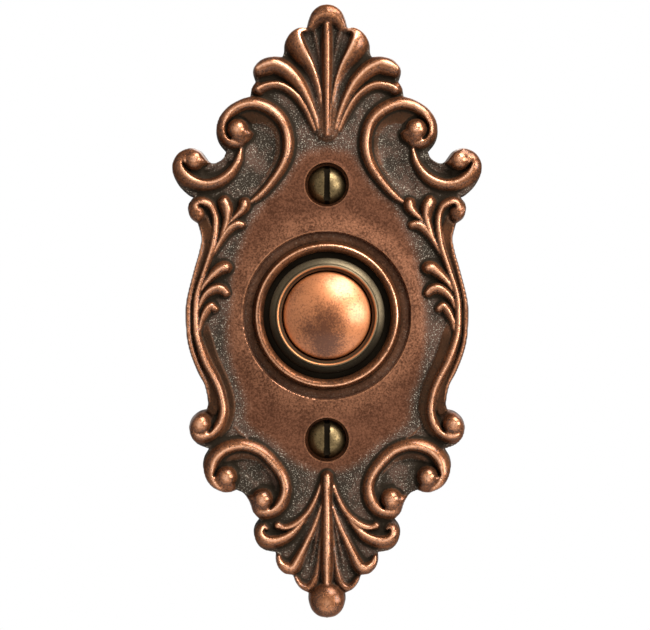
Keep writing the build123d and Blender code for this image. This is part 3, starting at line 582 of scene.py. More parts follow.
# Scoops in the ground beside the scrolls
FLOORS: tuple[Hollow, ...] = (
    Hollow((
        (13.6, 36.4, 3.2), (13.1, 34.2, 3.0), (13.8, 31.2, 2.6), (15.5, 28.6, 2.2), (17.6, 26.6, 1.4),
    ), 0.35),
    Hollow(((20.6, 30.9, 1.6), (22.6, 29.6, 1.5), (24.8, 29.2, 1.2)), 0.4),
    Hollow(((19.0, -30.6, 1.5), (16.4, -31.2, 2.4), (13.4, -33.4, 2.5), (11.8, -35.4, 1.4)), 0.35),
)

# Spoons in the petals
SPOONS: tuple[Hollow, ...] = (
    Hollow((
        (3.5, 58.2, 1.0), (3.7, 56.6, 1.2), (3.0, 54.3, 1.1), (2.3, 52.0, 0.8), (1.75, 49.8, 0.5),
    ), 0.5, 0.95),
    Hollow(((8.8, -50.3, 1.2), (7.6, -48.6, 1.1), (6.2, -46.2, 0.9), (4.6, -43.4, 0.6)), 0.5, 0.95),
    Hollow(((4.5, -54.6, 1.1), (4.2, -52.4, 1.1), (3.9, -50.0, 0.9), (2.9, -46.6, 0.6)), 0.4, 0.95),
    Hollow(((11.6, -44.6, 0.9), (10.2, -44.8, 0.7), (8.6, -44.5, 0.4)), 0.6, 0.9),
)

# Ground between the petals of the two palmettes
FANS: tuple[Hollow, ...] = (
    Hollow((
        (0.0, 60.0, 4.5), (0.0, 54.0, 6.5), (0.0, 48.0, 5.0), (0.0, 42.0, 3.4), (0.0, 38.5, 2.6),
    ), 1.0, 0.3),
    Hollow((
        (0.0, -36.0, 2.0), (0.0, -42.0, 4.5), (0.0, -48.0, 6.5), (0.0, -54.0, 5.5), (0.0, -59.0, 4.5),
    ), 1.0, 0.3),
)

# Stretches that were left smooth beside the stems
BARE: tuple[Hollow, ...] = (
    Hollow(((26.0, 19.5, 2.2), (25.2, 16.0, 2.2), (25.6, 12.0, 1.8), (27.2, 7.0, 1.6)), 1.0, 0.3),
    Hollow(((26.5, -9.5, 1.8), (24.6, -14.0, 2.0), (23.9, -18.0, 2.2), (24.6, -20.5, 1.6)), 1.0, 0.3),
    Hollow((
        (24.9, -2.5, 0.6), (23.5, -8.4, 1.3), (21.0, -14.1, 1.3), (20.0, -18.9, 1.3), (21.6, -23.5, 1.3),
    ), 1.0, 0.3),
)

# Balls at the ends of the scrolls
EYES: tuple[Ball, ...] = (
    Ball(18.4, 38.3, 2.3, neck=-115.0, neck_spread=70.0),
    Ball(27.3, 32.1, 2.3, neck=95.0, neck_spread=125.0),
    Ball(26.1, -22.3, 2.4, neck=-35.0, neck_spread=120.0),
    Ball(20.7, -33.2, 2.3, neck=-65.0, neck_spread=80.0),
    Ball(13.3, -37.8, 2.3, neck=-55.0, neck_spread=85.0),
    Ball(26.9, 21.0, 1.75, proud=0.8, neck=60.0, groove_depth=0.5, bright=0.6),
)

# Balls at the ends of petals, and the ball at the foot of the plate
TIPS: tuple[Ball, ...] = (
    Ball(10.1, -43.3, 0.9),
    Ball(14.3, 46.8, 1.4, proud=0.8, bright=0.3),
    Ball(0.0, -58.9, 4.0, proud=0.8, bright=0.76),
)


def add_object(name: str, data: bpy.types.ID) -> Piece:
    """Add an object to the scene.

    Args:
        name: Name of the object.
        data: Its mesh, lamp or camera.

    Returns:
        The object.
    """
    added = bpy.data.objects.new(name, data)
    bpy.context.scene.collection.objects.link(added)
    return added


class MeshMaker:
    """Collects vertices in millimetres and faces, then makes a Blender object of them."""

    def __init__(self) -> None:
        """Start with an empty mesh."""
        self.points: list[Triple] = []
        self.faces: list[tuple[int, ...]] = []

    def add(self, points: Iterable[Sequence[float]]) -> Loop:
        """Add points.

        Args:
            points: Places as (x, projection, z).

        Returns:
            The numbers of the new vertices.
        """
        first = len(self.points)
        self.points.extend((float(x), -float(t), float(z)) for x, t, z in points)
        return list(range(first, len(self.points)))

    def at(self, loop: Loop, projection: float) -> Loop:
        """Copy a loop of vertices to one projection, and return the copies' numbers."""
        return self.add((self.points[i][0], projection, self.points[i][2]) for i in loop)

    def circle(self, x: float, z: float, radius: float, projection: float, count: int = 72) -> Loop:
        """Add a circle of vertices parallel to the wall, and return their numbers."""
        around = ((radius * math.cos(a), radius * math.sin(a)) for a in full_turn(count))
        return self.add((x + across, projection, z + up) for across, up in around)

    def bridge(self, first: Loop, second: Loop) -> None:
        """Join two loops of as many vertices with quads.

        Args:
            first: Numbers of one loop.
            second: Numbers of the other loop.
        """
        count = len(first)
        for i in range(count):
            j = (i + 1) % count
            self.faces.append((first[i], first[j], second[j], second[i]))

    def cap(self, *loops: Loop) -> None:
        """Fill the flat face between an outer loop and the loops of its holes."""
        flat = [i for loop in loops for i in loop]
        corners = [[Vector((self.points[i][0], self.points[i][2], 0.0)) for i in loop] for loop in loops]
        self.faces.extend(tuple(flat[i] for i in corner) for corner in tessellate_polygon(corners))

    def lathe(self, profile: Sequence[Point], count: int, x: float = 0.0, ring: bool = False) -> None:
        """Turn a profile of (radius, projection) about an axis square to the wall.

        Args:
            profile: The profile; a radius of 0 closes an end.
            count: Number of vertices round the axis.
            x: Axis across the plate.
            ring: Whether the profile closes on itself.
        """
        rows = []
        for radius, projection in profile:
            if radius < 1e-6:
                rows.append(self.add([(x, projection, 0.0)]))
            else:
                rows.append(self.circle(x, 0.0, radius, projection, count))
        self.skin(rows + (rows[:1] if ring else []))

    def skin(self, rows: Sequence[Loop]) -> None:
        """Cover loops of as many vertices, one after another.

        Args:
            rows: Numbers of the loops' vertices; a loop of one vertex is a pole.
        """
        for first, second in zip(rows, rows[1:]):
            count = max(len(first), len(second))
            if len(first) == 1:
                self.faces.extend((first[0], second[(i + 1) % count], second[i]) for i in range(count))
            elif len(second) == 1:
                self.faces.extend((first[i], first[(i + 1) % count], second[0]) for i in range(count))
            else:
                self.bridge(first, second)

    def sweep(self, rows: Sequence[Loop]) -> None:
        """Cover loops one after another and close both ends."""
        self.skin(rows)
        self.faces.extend((tuple(rows[0]), tuple(rows[-1])))

    def block(self, low: Sequence[float], high: Sequence[float]) -> None:
        """Add a block.

        Args:
            low: Its lower corner as (x, projection, z).
            high: The opposite corner.
        """
        corners = [(low[0], low[2]), (high[0], low[2]), (high[0], high[2]), (low[0], high[2])]
        back = self.add((x, low[1], z) for x, z in corners)
        front = self.at(back, high[1])
        self.bridge(back, front)
        self.cap(back)
        self.cap(front)

    def make(self, name: str, sharp: float = SHARP) -> Piece:
        """Make the object, with its normals outwards and its sharp edges kept.

        Args:
            name: Name of the piece.
            sharp: Angle in degrees above which an edge stays sharp.

        Returns:
            The new object.
        """
        mesh = bpy.data.meshes.new(name)
        mesh.from_pydata([(x * MM, y * MM, z * MM) for x, y, z in self.points], [], self.faces)
        face_out(mesh)
        shade(mesh, sharp)
        return add_object(name, mesh)


def shade(mesh: bpy.types.Mesh, sharp: float) -> None:
    """Shade a mesh smoothly but for the edges above an angle in degrees."""
    mesh.polygons.foreach_set("use_smooth", [True] * len(mesh.polygons))
    mesh.set_sharp_from_angle(angle=math.radians(sharp))


def face_out(mesh: bpy.types.Mesh) -> None:
    """Turn every closed shell of a mesh outwards.

    Args:
        mesh: The mesh to correct.
    """
    work = bmesh.new()
    work.from_mesh(mesh)
    bmesh.ops.recalc_face_normals(work, faces=work.faces)
    left = set(work.faces)
    while left:
        shell = [left.pop()]
        for face in shell:
            near = {other for edge in face.edges for other in edge.link_faces if other in left}
            left -= near
            shell.extend(near)
        middle = sum((face.calc_center_median() for face in shell), Vector()) / len(shell)
        swept = sum((f.calc_center_median() - middle).dot(f.normal) * f.calc_area() for f in shell)
        if swept < 0:
            bmesh.ops.reverse_faces(work, faces=shell)
    work.to_mesh(mesh)
    work.free()


def cut_away(piece: Piece, tool: Piece, bevel: float) -> None:
    """Cut a tool out of a piece, break the new edges and remove the tool.

    Args:
        piece: The piece to cut.
        tool: The shape that is cut away.
        bevel: Width of the broken edges in millimetres.
    """
    cut = piece.modifiers.new("cut", "BOOLEAN")
    cut.object = tool
    cut.operation = "DIFFERENCE"
    cut.solver = "MANIFOLD"
    edge = piece.modifiers.new("edge", "BEVEL")
    edge.width = bevel * MM
    edge.segments = 2
    edge.limit_method = "ANGLE"
    edge.angle_limit = math.radians(SHARP_CUT)
    bpy.context.view_layer.update()
    ready = piece.evaluated_get(bpy.context.evaluated_depsgraph_get())
    mesh = bpy.data.meshes.new_from_object(ready)
    piece.modifiers.clear()
    piece.data = mesh
    bpy.data.objects.remove(tool)
    shade(mesh, SHARP)


class Wire:
    """A value in a tree of nodes: arithmetic on it adds Math nodes."""

    def __init__(self, nodes: "NodeTree", socket: bpy.types.NodeSocket) -> None:
        """Hold a socket of a tree."""
        self.nodes = nodes
        self.socket = socket

    def math(self, operation: str, *others: "Value") -> "Wire":
        """Add a Math node that starts from this value."""
        return self.nodes.math(operation, self, *others)

    def __add__(self, other: "Value") -> "Wire":
        """Sum of two values."""
        return self.math("ADD", other)

    __radd__ = __add__

    def __mul__(self, other: "Value") -> "Wire":
        """Product of two values."""
        return self.math("MULTIPLY", other)

    __rmul__ = __mul__

    def __sub__(self, other: "Value") -> "Wire":
        """Difference of two values."""
        return self.math("SUBTRACT", other)

    def __rsub__(self, other: float) -> "Wire":
        """Difference from a number."""
        return self.nodes.math("SUBTRACT", other, self)

    def __pow__(self, other: "Value") -> "Wire":
        """Power of a value."""
        return self.math("POWER", other)

    def step(self, low: float, high: float) -> "Wire":
        """Ease the value from 0 at low to 1 at high.

        Args:
            low: Where the step starts.
            high: Where it ends.

        Returns:
            The eased value.
        """
        inputs = {"Value": self, "From Min": low, "From Max": high}
        node = self.nodes.node("ShaderNodeMapRange", {"interpolation_type": "SMOOTHSTEP"}, inputs)
        return Wire(self.nodes, node.outputs["Result"])


Value = Union[Wire, float]
Paint = Union[Wire, Colour]
Feed = Union[Wire, float, Colour]


class NodeTree:
    """The nodes of a material or of the world."""

    def __init__(self, tree: bpy.types.NodeTree) -> None:
        """Hold a tree."""
        self.tree = tree

    def node(
        self,
        kind: str,
        settings: dict[str, object] | None = None,
        inputs: dict[Union[str, int], Feed] | None = None,
    ) -> bpy.types.Node:
        """Add a node.

        Args:
            kind: Type of the node.
            settings: Its settings, set first.
            inputs: Values or links of its sockets.

        Returns:
            The new node.
        """
        node = self.tree.nodes.new(kind)
        for key, value in (settings or {}).items():
            setattr(node, key, value)
        for key, value in (inputs or {}).items():
            self.feed(node.inputs[key], value)
        return node

    def feed(self, socket: bpy.types.NodeSocket, value: Feed) -> None:
        """Link a wire to a socket, or set its value.

        Args:
            socket: The socket to feed.
            value: A wire, a number, a colour or a vector.
        """
        if isinstance(value, Wire):
            self.tree.links.new(value.socket, socket)
        elif isinstance(value, (int, float)):
            socket.default_value = value
        else:
            socket.default_value = (*value, 1.0)[: len(socket.default_value)]

    def math(self, operation: str, *values: Value) -> Wire:
        """Add a Math node of an operation on values in order, and return its result."""
        node = self.node("ShaderNodeMath", {"operation": operation}, dict(enumerate(values)))
        return Wire(self, node.outputs[0])


class Shader(NodeTree):
    """One material and the nodes of its tree."""

    def __init__(self, name: str) -> None:
        """Start a material with a Principled shader."""
        self.material = bpy.data.materials.new(name)
        self.material.use_nodes = True
        super().__init__(self.material.node_tree)
        self.surface = self.tree.nodes["Principled BSDF"]

    def mix(self, share: Value, first: Paint, second: Paint) -> Wire:
        """Mix a share of the second colour into the first."""
        node = self.node("ShaderNodeMix", {"data_type": "RGBA"}, {0: share, 6: first, 7: second})
        return Wire(self, node.outputs[2])

    def mask(self, name: str) -> Wire:
        """Read a mask that the mesh carries."""
        return Wire(self, self.node("ShaderNodeAttribute", {"attribute_name": name}).outputs["Fac"])

    def place(self) -> Wire:
        """Place on the object, in metres."""
        return Wire(self, self.node("ShaderNodeTexCoord").outputs["Object"])

    def noise(self, size: float, detail: float = 2.0, rough: float = 0.5) -> Wire:
        """Cloudy noise around 0.5, of a size in millimetres, with finer layers."""
        inputs = {"Vector": self.place(), "Scale": 1.0 / (size * MM), "Detail": detail, "Roughness": rough}
        return Wire(self, self.node("ShaderNodeTexNoise", None, inputs).outputs["Fac"])

    def grain(self) -> Wire:
        """Fine grain of cast and turned metal."""
        return self.noise(0.42, 3.0, 0.7)

    def pits(self, low: float, high: float) -> Wire:
        """Scattered pits, which start where their noise passes low and are full where it passes high."""
        return self.noise(0.45, 2.0, 0.6).step(low, high)

    def finish(self, bump: Value, relief: float, **sockets: Feed) -> Material:
        """Feed the surface and return the material.

        Args:
            bump: Fine height of the surface.
            relief: Depth of that height in millimetres.
            sockets: Values of the surface's sockets, with _ for spaces.

        Returns:
            The material.
        """
        lift = self.node("ShaderNodeBump", None, {"Strength": 1.0, "Distance": relief * MM, "Height": bump})
        self.tree.links.new(lift.outputs["Normal"], self.surface.inputs["Normal"])
        for key, value in sockets.items():
            self.feed(self.surface.inputs[key.replace("_", " ")], value)
        return self.material


# Strength of the gloss of patina beside that of bare metal
PATINA_GLOSS = 0.15


@dataclass(frozen=True)
class AntiqueCopper:
    """Patinated casting: dark stippled ground, red-brown field and worn bright crests."""

    field: Colour = (0.06, 0.023, 0.012)
    field_light: Colour = (0.165, 0.066, 0.035)
    polish: Colour = (0.28, 0.118, 0.062)  # Light grains round the button, where hands rub them
    stipple: Colour = (0.022, 0.017, 0.0125)
    stipple_warm: Colour = (0.066, 0.038, 0.027)  # Browner clouds of the stippled ground
    glint_speck: Colour = (0.33, 0.285, 0.22)  # Pale specks on that ground, painted glints of the punched stippling
    slope: Colour = (0.045, 0.017, 0.008)  # Slopes of the ornament
    slope_light: Colour = (0.13, 0.046, 0.018)
    copper: Colour = (0.34, 0.125, 0.046)  # Half worn copper beside the crests
    crest: Colour = (0.82, 0.45, 0.28)  # Worn copper on the crests
    grime: Colour = (0.011, 0.008, 0.005)  # Dirt in the grooves
    sheen: Colour = (0.6, 0.42, 0.3)
    lacquer: float = 0.5  # Strength of the clear coat on worn copper
    lacquer_rough: float = 0.18
    grain_depth: float = 0.05  # Depth of its grain in millimetres

    def material(self) -> Material:
        """Build the finish.

        Returns:
            The material.
        """
        s = Shader("antique_copper")
        grain = s.grain()
        cloud = s.noise(5.0, 3.0, 0.55)
        wear = s.mask("wear")
        grime = s.mask("grime")
        relief = s.mask("relief")
        stipple = (s.mask("stipple") + (cloud - 0.5) * 0.6 + (grain - 0.5) * 0.6).step(0.1, 0.9)
        # Pale specks on the stippled ground: painted glints, which the bump also raises a little
        glint_speck = s.noise(0.27, 1.0, 0.5).step(0.57, 0.72)
        pit = s.pits(0.56, 0.66)
        rubbed = s.mix(s.mask("rubbed"), self.field_light, self.polish)
        field = s.mix(((grain - 0.5) * 2.2 + (cloud - 0.5) * 0.8 + 0.5).step(0.0, 1.0), self.field, rubbed)
        ground = s.mix((cloud * 0.7 + grain * 0.3).step(0.42, 0.62), self.stipple, self.stipple_warm)
        ground = s.mix(glint_speck * (0.25 + grain * 0.9), ground, self.glint_speck)
        slope = s.mix((grain * 0.6 + cloud * 0.4).step(0.4, 0.62), self.slope, self.slope_light)
        base = s.mix(relief, s.mix(stipple, field, ground), slope)
        base = s.mix((grime * (0.6 + 0.8 * grain)).step(0.1, 0.9), base, self.grime)
        base = s.mix((wear + (grain - 0.5) * 0.35).step(0.44, 0.9), base, self.copper)
        bright = (wear + (grain - 0.5) * 0.22).step(0.7, 0.95)
        base = s.mix(bright, base, self.crest)
        base = s.mix(pit * relief * 0.6, base, self.grime)
        flat = stipple * (1.0 - relief)
        worn = wear.step(0.2, 0.8)
        rough = 0.34 + flat * 0.31 + grime * 0.15 - worn * 0.14 + (grain - 0.5) * 0.12
        metal = 0.65 - flat * 0.35 - grime * 0.3
        bump = grain * (0.22 + flat * 1.2) + glint_speck * flat * 1.0 - pit * relief * 0.5
        return s.finish(
            bump,
            self.grain_depth,
            Base_Color=base,
            Roughness=rough,
            Metallic=metal,
            Coat_Weight=worn * self.lacquer,
            Coat_Roughness=self.lacquer_rough,
            Specular_IOR_Level=PATINA_GLOSS,
            Specular_Tint=self.sheen,
        )


@dataclass(frozen=True)
class TurnedMetal:
    """Turned metal with a mottled patina, fine pits, and masks for wear, dirt, painted shade and a painted
    dark reflection.
    """

    name: str
    light: Colour  # Its bright metal
    dark: Colour  # Its tarnish
    worn: Colour = (0.42, 0.17, 0.07)  # Metal that shows where the mesh's "worn" mask is set
    tarnish: float = 0.5  # Share of the surface that is tarnished, from 0 to 1
    rough: float = 0.32
    pits: float = 0.4
    metallic: float = 0.75
    lacquer: float = 0.0  # Strength of its clear coat
    lacquer_rough: float = 0.28
    # Dark colour that the dirt mask mixes in: real dirt, and painted shade on the collar's lower half
    grime: Colour = (0.008, 0.006, 0.004)
    sheen: Colour = (0.8, 0.65, 0.5)  # Tint of its gloss
    grain_depth: float = 0.012  # Depth of its grain in millimetres

    @cache
    def material(self) -> Material:
        """Build the finish.

        Returns:
            The material.
        """
        s = Shader(self.name)
        grain = s.grain()
        cloud = s.noise(5.0, 4.0, 0.6)
        pit = s.pits(0.58, 0.68) * self.pits
        # The button's dark patch mask adds tarnish: a painted dark reflection in the dome's middle and
        # painted shade below it
        mottle = cloud * 0.4 + grain * 0.6 + s.mask("patch") * 0.35
        share = mottle.step(0.64 - self.tarnish * 0.5, 1.02 - self.tarnish * 0.5)
        base = s.mix(share, self.light, self.dark)
        base = s.mix(pit, base, self.dark)
        base = s.mix((s.mask("worn") * (0.5 + grain)).step(0.1, 0.8), base, self.worn)
        # Dirt, and painted shade on the collar's lower half
        base = s.mix(s.mask("dirt"), base, self.grime)
        rough = self.rough + share * 0.1 + (grain - 0.5) * 0.15
        return s.finish(
            grain - pit,
            self.grain_depth,
            Base_Color=base,
            Roughness=rough,
            Metallic=self.metallic,
            Coat_Weight=self.lacquer,
            Coat_Roughness=self.lacquer_rough,
            Specular_IOR_Level=PATINA_GLOSS,
            Specular_Tint=self.sheen,
        )


@dataclass(frozen=True)
class DarkMoulding:
    """Matt moulded insulator with a faint grain."""

    colour: Colour = (0.028, 0.025, 0.023)
    worn: Colour = (0.075, 0.066, 0.058)  # Its paler clouds
    grain_depth: float = 0.02  # Depth of its grain in millimetres

    def material(self) -> Material:
        """Build the finish.

        Returns:
            The material.
        """
        s = Shader("dark_moulding")
        grain = s.noise(0.35, 3.0, 0.6)
        cloud = s.noise(7.0, 3.0, 0.6)
        base = s.mix((grain * 0.5 + cloud * 0.5).step(0.42, 0.75), self.colour, self.worn)
        rough = 0.5 + (cloud - 0.5) * 0.3
        return s.finish(grain, self.grain_depth, Base_Color=base, Roughness=rough, Metallic=0.0)


DOME_COPPER = TurnedMetal(
    "dome_copper", light=(0.42, 0.15, 0.055), dark=(0.088, 0.026, 0.008),
    tarnish=0.42, rough=0.42, pits=0.6, lacquer=0.52,
)
SCREW_BRASS = TurnedMetal(
    "screw_brass", light=(0.14, 0.096, 0.044), dark=(0.036, 0.025, 0.011),
    tarnish=0.54, rough=0.34, pits=0.8,
)
SLEEVE_BRONZE = TurnedMetal(
    "sleeve_bronze", light=(0.1, 0.076, 0.045), dark=(0.03, 0.022, 0.012), tarnish=0.4, rough=0.4
)
BRIGHT_BRASS = TurnedMetal(
    "bright_brass", light=(0.75, 0.52, 0.2), dark=(0.36, 0.22, 0.08), tarnish=0.35, rough=0.26
)
SPRING_STEEL = TurnedMetal(
    "spring_steel", light=(0.5, 0.5, 0.51), dark=(0.2, 0.19, 0.18), tarnish=0.4, rough=0.28
)
CONTACT_BRONZE = TurnedMetal(
    "contact_bronze", light=(0.66, 0.4, 0.19), dark=(0.34, 0.18, 0.08), tarnish=0.35, rough=0.26
)
CONTACT_SILVER = TurnedMetal(
    "contact_silver", light=(0.78, 0.77, 0.73), dark=(0.4, 0.39, 0.36), tarnish=0.3, rough=0.22
)


def store(piece: Piece, name: str, values: Sequence[float]) -> None:
    """Store a mask on a piece, one value a vertex."""
    layer = piece.data.attributes.new(name, "FLOAT", "POINT")
    layer.data.foreach_set("value", np.asarray(values, np.float32))


def paint(piece: Piece, name: str, mask: Callable[..., Array]) -> None:
    """Paint a mask on a piece.

    Args:
        piece: The piece.
        name: Name of the mask.
        mask: Gives the mask from places across, out from the wall and up, in millimetres.
    """
    places = np.empty(len(piece.data.vertices) * 3)
    piece.data.vertices.foreach_get("co", places)
    x, y, z = places.reshape(-1, 3).T / MM
    store(piece, name, mask(x, -y, z))


def dress(piece: Piece, body: str, material: Material, node: str) -> Piece:
    """Give a piece its finish and say which body and solid it stands for.

    Args:
        piece: The piece.
        body: Body that it moves with.
        material: Its finish.
        node: Solid that it replaces.

    Returns:
        The piece.
    """
    piece.data.materials.clear()
    piece.data.materials.append(material)
    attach(piece, body)
    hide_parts(node)
    return piece


@dataclass(frozen=True)
class WornLine:
    """Line worn bright along a turned edge."""

    offset: float  # Distance of its middle outside the edge
    half: float  # Half its width
    bright: float  # How bright its middle is

    def mask(self, away: Array, edge: float) -> Array:
        """Brightness at distances from the axis of an edge of a radius, below 0 beside the line."""
        return self.bright * (1.0 - np.abs(away - edge - self.offset) / self.half)


@dataclass(frozen=True)
class Patina:
    """Where the plate's finish changes. A pair holds where a change starts and where it is full."""

    slope: Point = (0.05, 0.4)  # Heights over the floor where slopes take over from the ground
    low: Point = (1.1, 0.3)  # Heights over the floor where the slopes' dirt sets in
    field: Point = (-2.5, 2.5)  # Distances inside the field's edge where the stipple ends
    rubbed: Point = (5.5, 0.5)  # Distances outside the collar's lip where hands rub the field
    moat_in: Point = (0.6, 1.4)  # Distances outside the collar's crest where the moat's finish sets in
    moat_out: Point = (-0.15, 0.05)  # Distances outside the lip where it ends
    moat_stipple: float = 0.45
    moat_clean: float = 0.6  # How much less dirt than elsewhere gathers in the moat
    bare_smooth: float = 0.6  # How far stretches beside the stems lose their stipple
    bare_dirt: float = 0.5
    slope_dirt: float = 0.66
    fan_ground: float = 0.8  # How far low places between petals look like the ground
    fan_clean: float = 0.7  # How much less dirt the petals' slopes have
    sheltered: float = 0.45  # How much less dirt gathers on bare stretches and between petals
    brink: float = -0.4  # Distance inside the silhouette from which heights count
    crease: Point = (0.04, 0.26)  # Depths below the near surroundings where creases hold dirt
    crease_reach: float = 0.5
    hollow: Point = (0.12, 0.7)  # Depths below the wider surroundings where hollows do
    hollow_reach: float = 1.5
    hollow_dirt: float = 0.7
    ring_line: WornLine = WornLine(0.1, 0.85, 0.9)  # On the collar's crest
    lip_line: WornLine = WornLine(0.15, 0.4, 0.85)  # On the lip outside the moat
    rim_line: WornLine = WornLine(0.1, 0.4, 0.8)  # Round the counterbores


# Masks of the plate's sides and back, where they aren't 0
BACK_MASKS = {"relief": 1.0, "grime": 0.4}
# Height of the ornament where nothing is carved
UNCARVED = -4.0


@dataclass
class Survey:
    """Measures of the places on the right half of the plate."""

    x: Array
    z: Array
    inside: Array  # Distance inside the silhouette, below 0 outside it
    radius: Array  # Distance from the button's axis
    bores: Array  # Distance from the nearer mounting screw's axis
    floor: Array  # Height of the collar and the scoops above the ground
    ornament: Relief

    def deepest(self, hollows: Sequence[Hollow]) -> Array:
        """Depth of the deepest of some hollows at each place."""
        return np.maximum.reduce([hollow.drop(self.x, self.z) for hollow in hollows])


@dataclass
class Carving:
    """The plate's whole front as a grid."""

    columns: Array
    rows: Array
    inside: Array  # Distance inside the silhouette and outside the holes
    height: Array  # Projection of the surface
    masks: dict[str, Array]


@dataclass
class Escutcheon:
    """Cast plate, sculpted as a height field on its right half and mirrored.

    A name with _r is a radius, and ground, floor, edge, seat and the names with _top or _end are
    projections. A moat lies between the ring round the button's hole and a lip in the field.
    """

    cell: float = 0.24  # Size of the front's grid
    reach: Triple = (33.0, -63.6, 65.4)  # Half width of the grid, and its lowest and highest row
    ground: float = 6.0  # Projection of the ground that the ornament stands on
    floor: float = 4.0  # Projection of the hollow back's floor
    edge: float = 2.6  # Projection of the foot of the rolled edge
    roll_top: float = 9.4
    roll_width: float = 1.75
    roll_fillet: float = 0.25
    foot_fillet: float = 0.3
    hole_r: float = 13.15
    ring_r: float = 14.3
    ring_inner: float = 1.55
    ring_outer: float = 1.0
    ring_height: float = 3.0
    ring_fillet: float = 0.2
    moat: float = 0.8
    moat_r: float = 16.9
    lip_r: float = 17.35
    lip: float = 0.5
    swell_r: float = 22.0  # Radius where the ground starts to swell up to the lip
    screw_z: Point = SCREW_Z
    bore_r: float = 4.55
    bore_rim: float = 0.12
    bore_rim_width: float = 0.3
    seat: float = SCREW_SEAT
    screw_hole_r: float = 2.3
    boss_r: float = 6.45
    base_boss_x: float = 18.5  # Place of the two bosses that hold the contact base
    base_boss_r: float = 2.6
    base_boss_end: float = 2.9
    base_boss_sides: int = 40
    tapped_r: float = 1.28
    tapped_end: float = 5.0
    outline_step: float = 0.4  # Longest distance between samples of an outline
    hollow_step: float = 1.2
    cut_margin: float = 1.0  # How near a cut is to the hole or counterbore that it belongs to
    cut_share: Point = (0.03, 0.97)  # How near to a cell's corners a cut may come
    patina: Patina = Patina()

    def depth(self, stretches: Sequence[Sequence[Point]], x: Array, z: Array) -> Array:
        """Distance of places inside an outline, below 0 outside it.

        Args:
            stretches: Right half of the outline, as smooth stretches from top to bottom.
            x: Places across.
            z: Places up.

        Returns:
            The distances.
        """
        samples = [smooth_line(stretch, self.outline_step)[:-1] for stretch in stretches]
        line = np.vstack([*samples, [stretches[-1][-1]]])
        head, tail = line[:-1], line[1:]
        way = tail - head
        length2 = np.maximum((way**2).sum(1), 1e-9)
        gap = np.full(len(x), np.inf)
        crossings = np.zeros(len(x), int)
        for (ax, az), (_, bz), (wx, wz), size in zip(head, tail, way, length2):
            share = np.clip(((x - ax) * wx + (z - az) * wz) / size, 0.0, 1.0)
            gap = np.minimum(gap, (x - ax - share * wx) ** 2 + (z - az - share * wz) ** 2)
            if wz:
                spans = (az > z) != (bz > z)
                crossings += spans & (x < ax + (z - az) * wx / wz)
        return np.sqrt(gap) * np.where(crossings % 2 == 1, 1.0, -1.0)

    def collar(self, radius: Array) -> Array:
        """Height of the turned collar above the ground.

        Args:
            radius: Distance from the button's axis.

        Returns:
            The heights.
        """
        swell = self.lip * smooth_step(self.swell_r, self.lip_r, radius)
        moat = -self.moat + (self.lip + self.moat) * smooth_step(self.moat_r, self.lip_r, radius)
        away = radius - self.ring_r
        share = np.where(away < 0, -away / self.ring_inner, away / self.ring_outer)
        ring = -self.moat + self.ring_height * np.sqrt(np.maximum(1.0 - share**2, 0.0))
        return np.where(radius > self.lip_r, swell, melt(moat, ring, self.ring_fillet))

    @staticmethod
    def ornament(x: Array, z: Array) -> Relief:
        """Carve the scrolls, leaves and palmettes.

        Args:
            x: Places across.
            z: Places up.

        Returns:
            The ornament.
        """
        relief = Relief(x, z, np.full(x.shape, UNCARVED), np.zeros(x.shape))
        for stroke in (*PLINTHS, *STEPS, *PETALS, *BORDERS, *LEAVES, *SCROLLS):
            stroke.carve(relief)
        for spoon in SPOONS:
            relief.height -= spoon.drop(x, z)
        for form in (*RIBS, *EYES, *TIPS):
            form.carve(relief)
        return relief

    def survey(self, x: Array, z: Array) -> Survey:
        """Measure places on the right half of the plate.

        Args:
            x: Places across.
            z: Places up.

        Returns:
            The measures.
        """
        radius = np.hypot(x, z)
        floor = self.collar(radius)
        for hollow in FLOORS:
            floor = floor - hollow.drop(x, z)
        bores = np.minimum(*[np.hypot(x, z - place) for place in self.screw_z])
        return Survey(x, z, self.depth(SILHOUETTE, x, z), radius, bores, floor, self.ornament(x, z))

    def heights(self, at: Survey) -> Array:
        """Projection of the front at places.

        Args:
            at: Measures of the places.

        Returns:
            The projections.
        """
        heights = self.ground + melt(at.floor, at.ornament.height, self.foot_fillet)
        beside = at.bores - self.bore_r - self.bore_rim
        heights += self.bore_rim * np.exp(-((beside / self.bore_rim_width) ** 2))
        share = np.clip(at.inside / self.roll_width, 0.0, 1.0)
        roll = self.edge + (self.roll_top - self.edge) * np.sqrt(1.0 - (1.0 - share) ** 2)
        return -melt(-heights, -roll, self.roll_fillet)

    def masks(self, at: Survey) -> dict[str, Array]:
        """Masks of the finish at places.

        Args:
            at: Measures of the places.

        Returns:
            The masks, with how clean hollows are and how dirty slopes are instead of the grime.
        """
        p = self.patina
        over = at.ornament.height - at.floor
        slope = smooth_step(*p.slope, over)
        low = smooth_step(*p.low, over)
        bare = at.deepest(BARE)
        fan = at.deepest(FANS)
        moat = smooth_step(*p.moat_in, at.radius - self.ring_r)
        moat = moat * (1.0 - smooth_step(*p.moat_out, at.radius - self.lip_r))
        field = smooth_step(*p.field, self.depth([FIELD_EDGE], at.x, at.z))
        collar = smooth_step(self.moat_r, self.ring_r + p.moat_in[0], at.radius)
        lines = (
            p.ring_line.mask(at.radius, self.ring_r),
            p.lip_line.mask(at.radius, self.lip_r),
            p.rim_line.mask(at.bores, self.bore_r),
        )
        foot = p.slope_dirt * slope * (1.0 - p.fan_clean * fan)
        return {
            "stipple": np.maximum((1.0 - field) * (1.0 - p.bare_smooth * bare), p.moat_stipple * moat),
            "relief": np.maximum(slope * (1.0 - p.fan_ground * low * fan), collar),
            "wear": np.maximum.reduce([at.ornament.crest * slope, *lines, np.zeros_like(at.x)]),
            "rubbed": smooth_step(*p.rubbed, at.radius - self.lip_r),
            "clean": 1.0 - p.moat_clean * moat - p.sheltered * np.maximum(bare, fan),
            "dirty": np.maximum(p.bare_dirt * bare, foot) * low,
        }

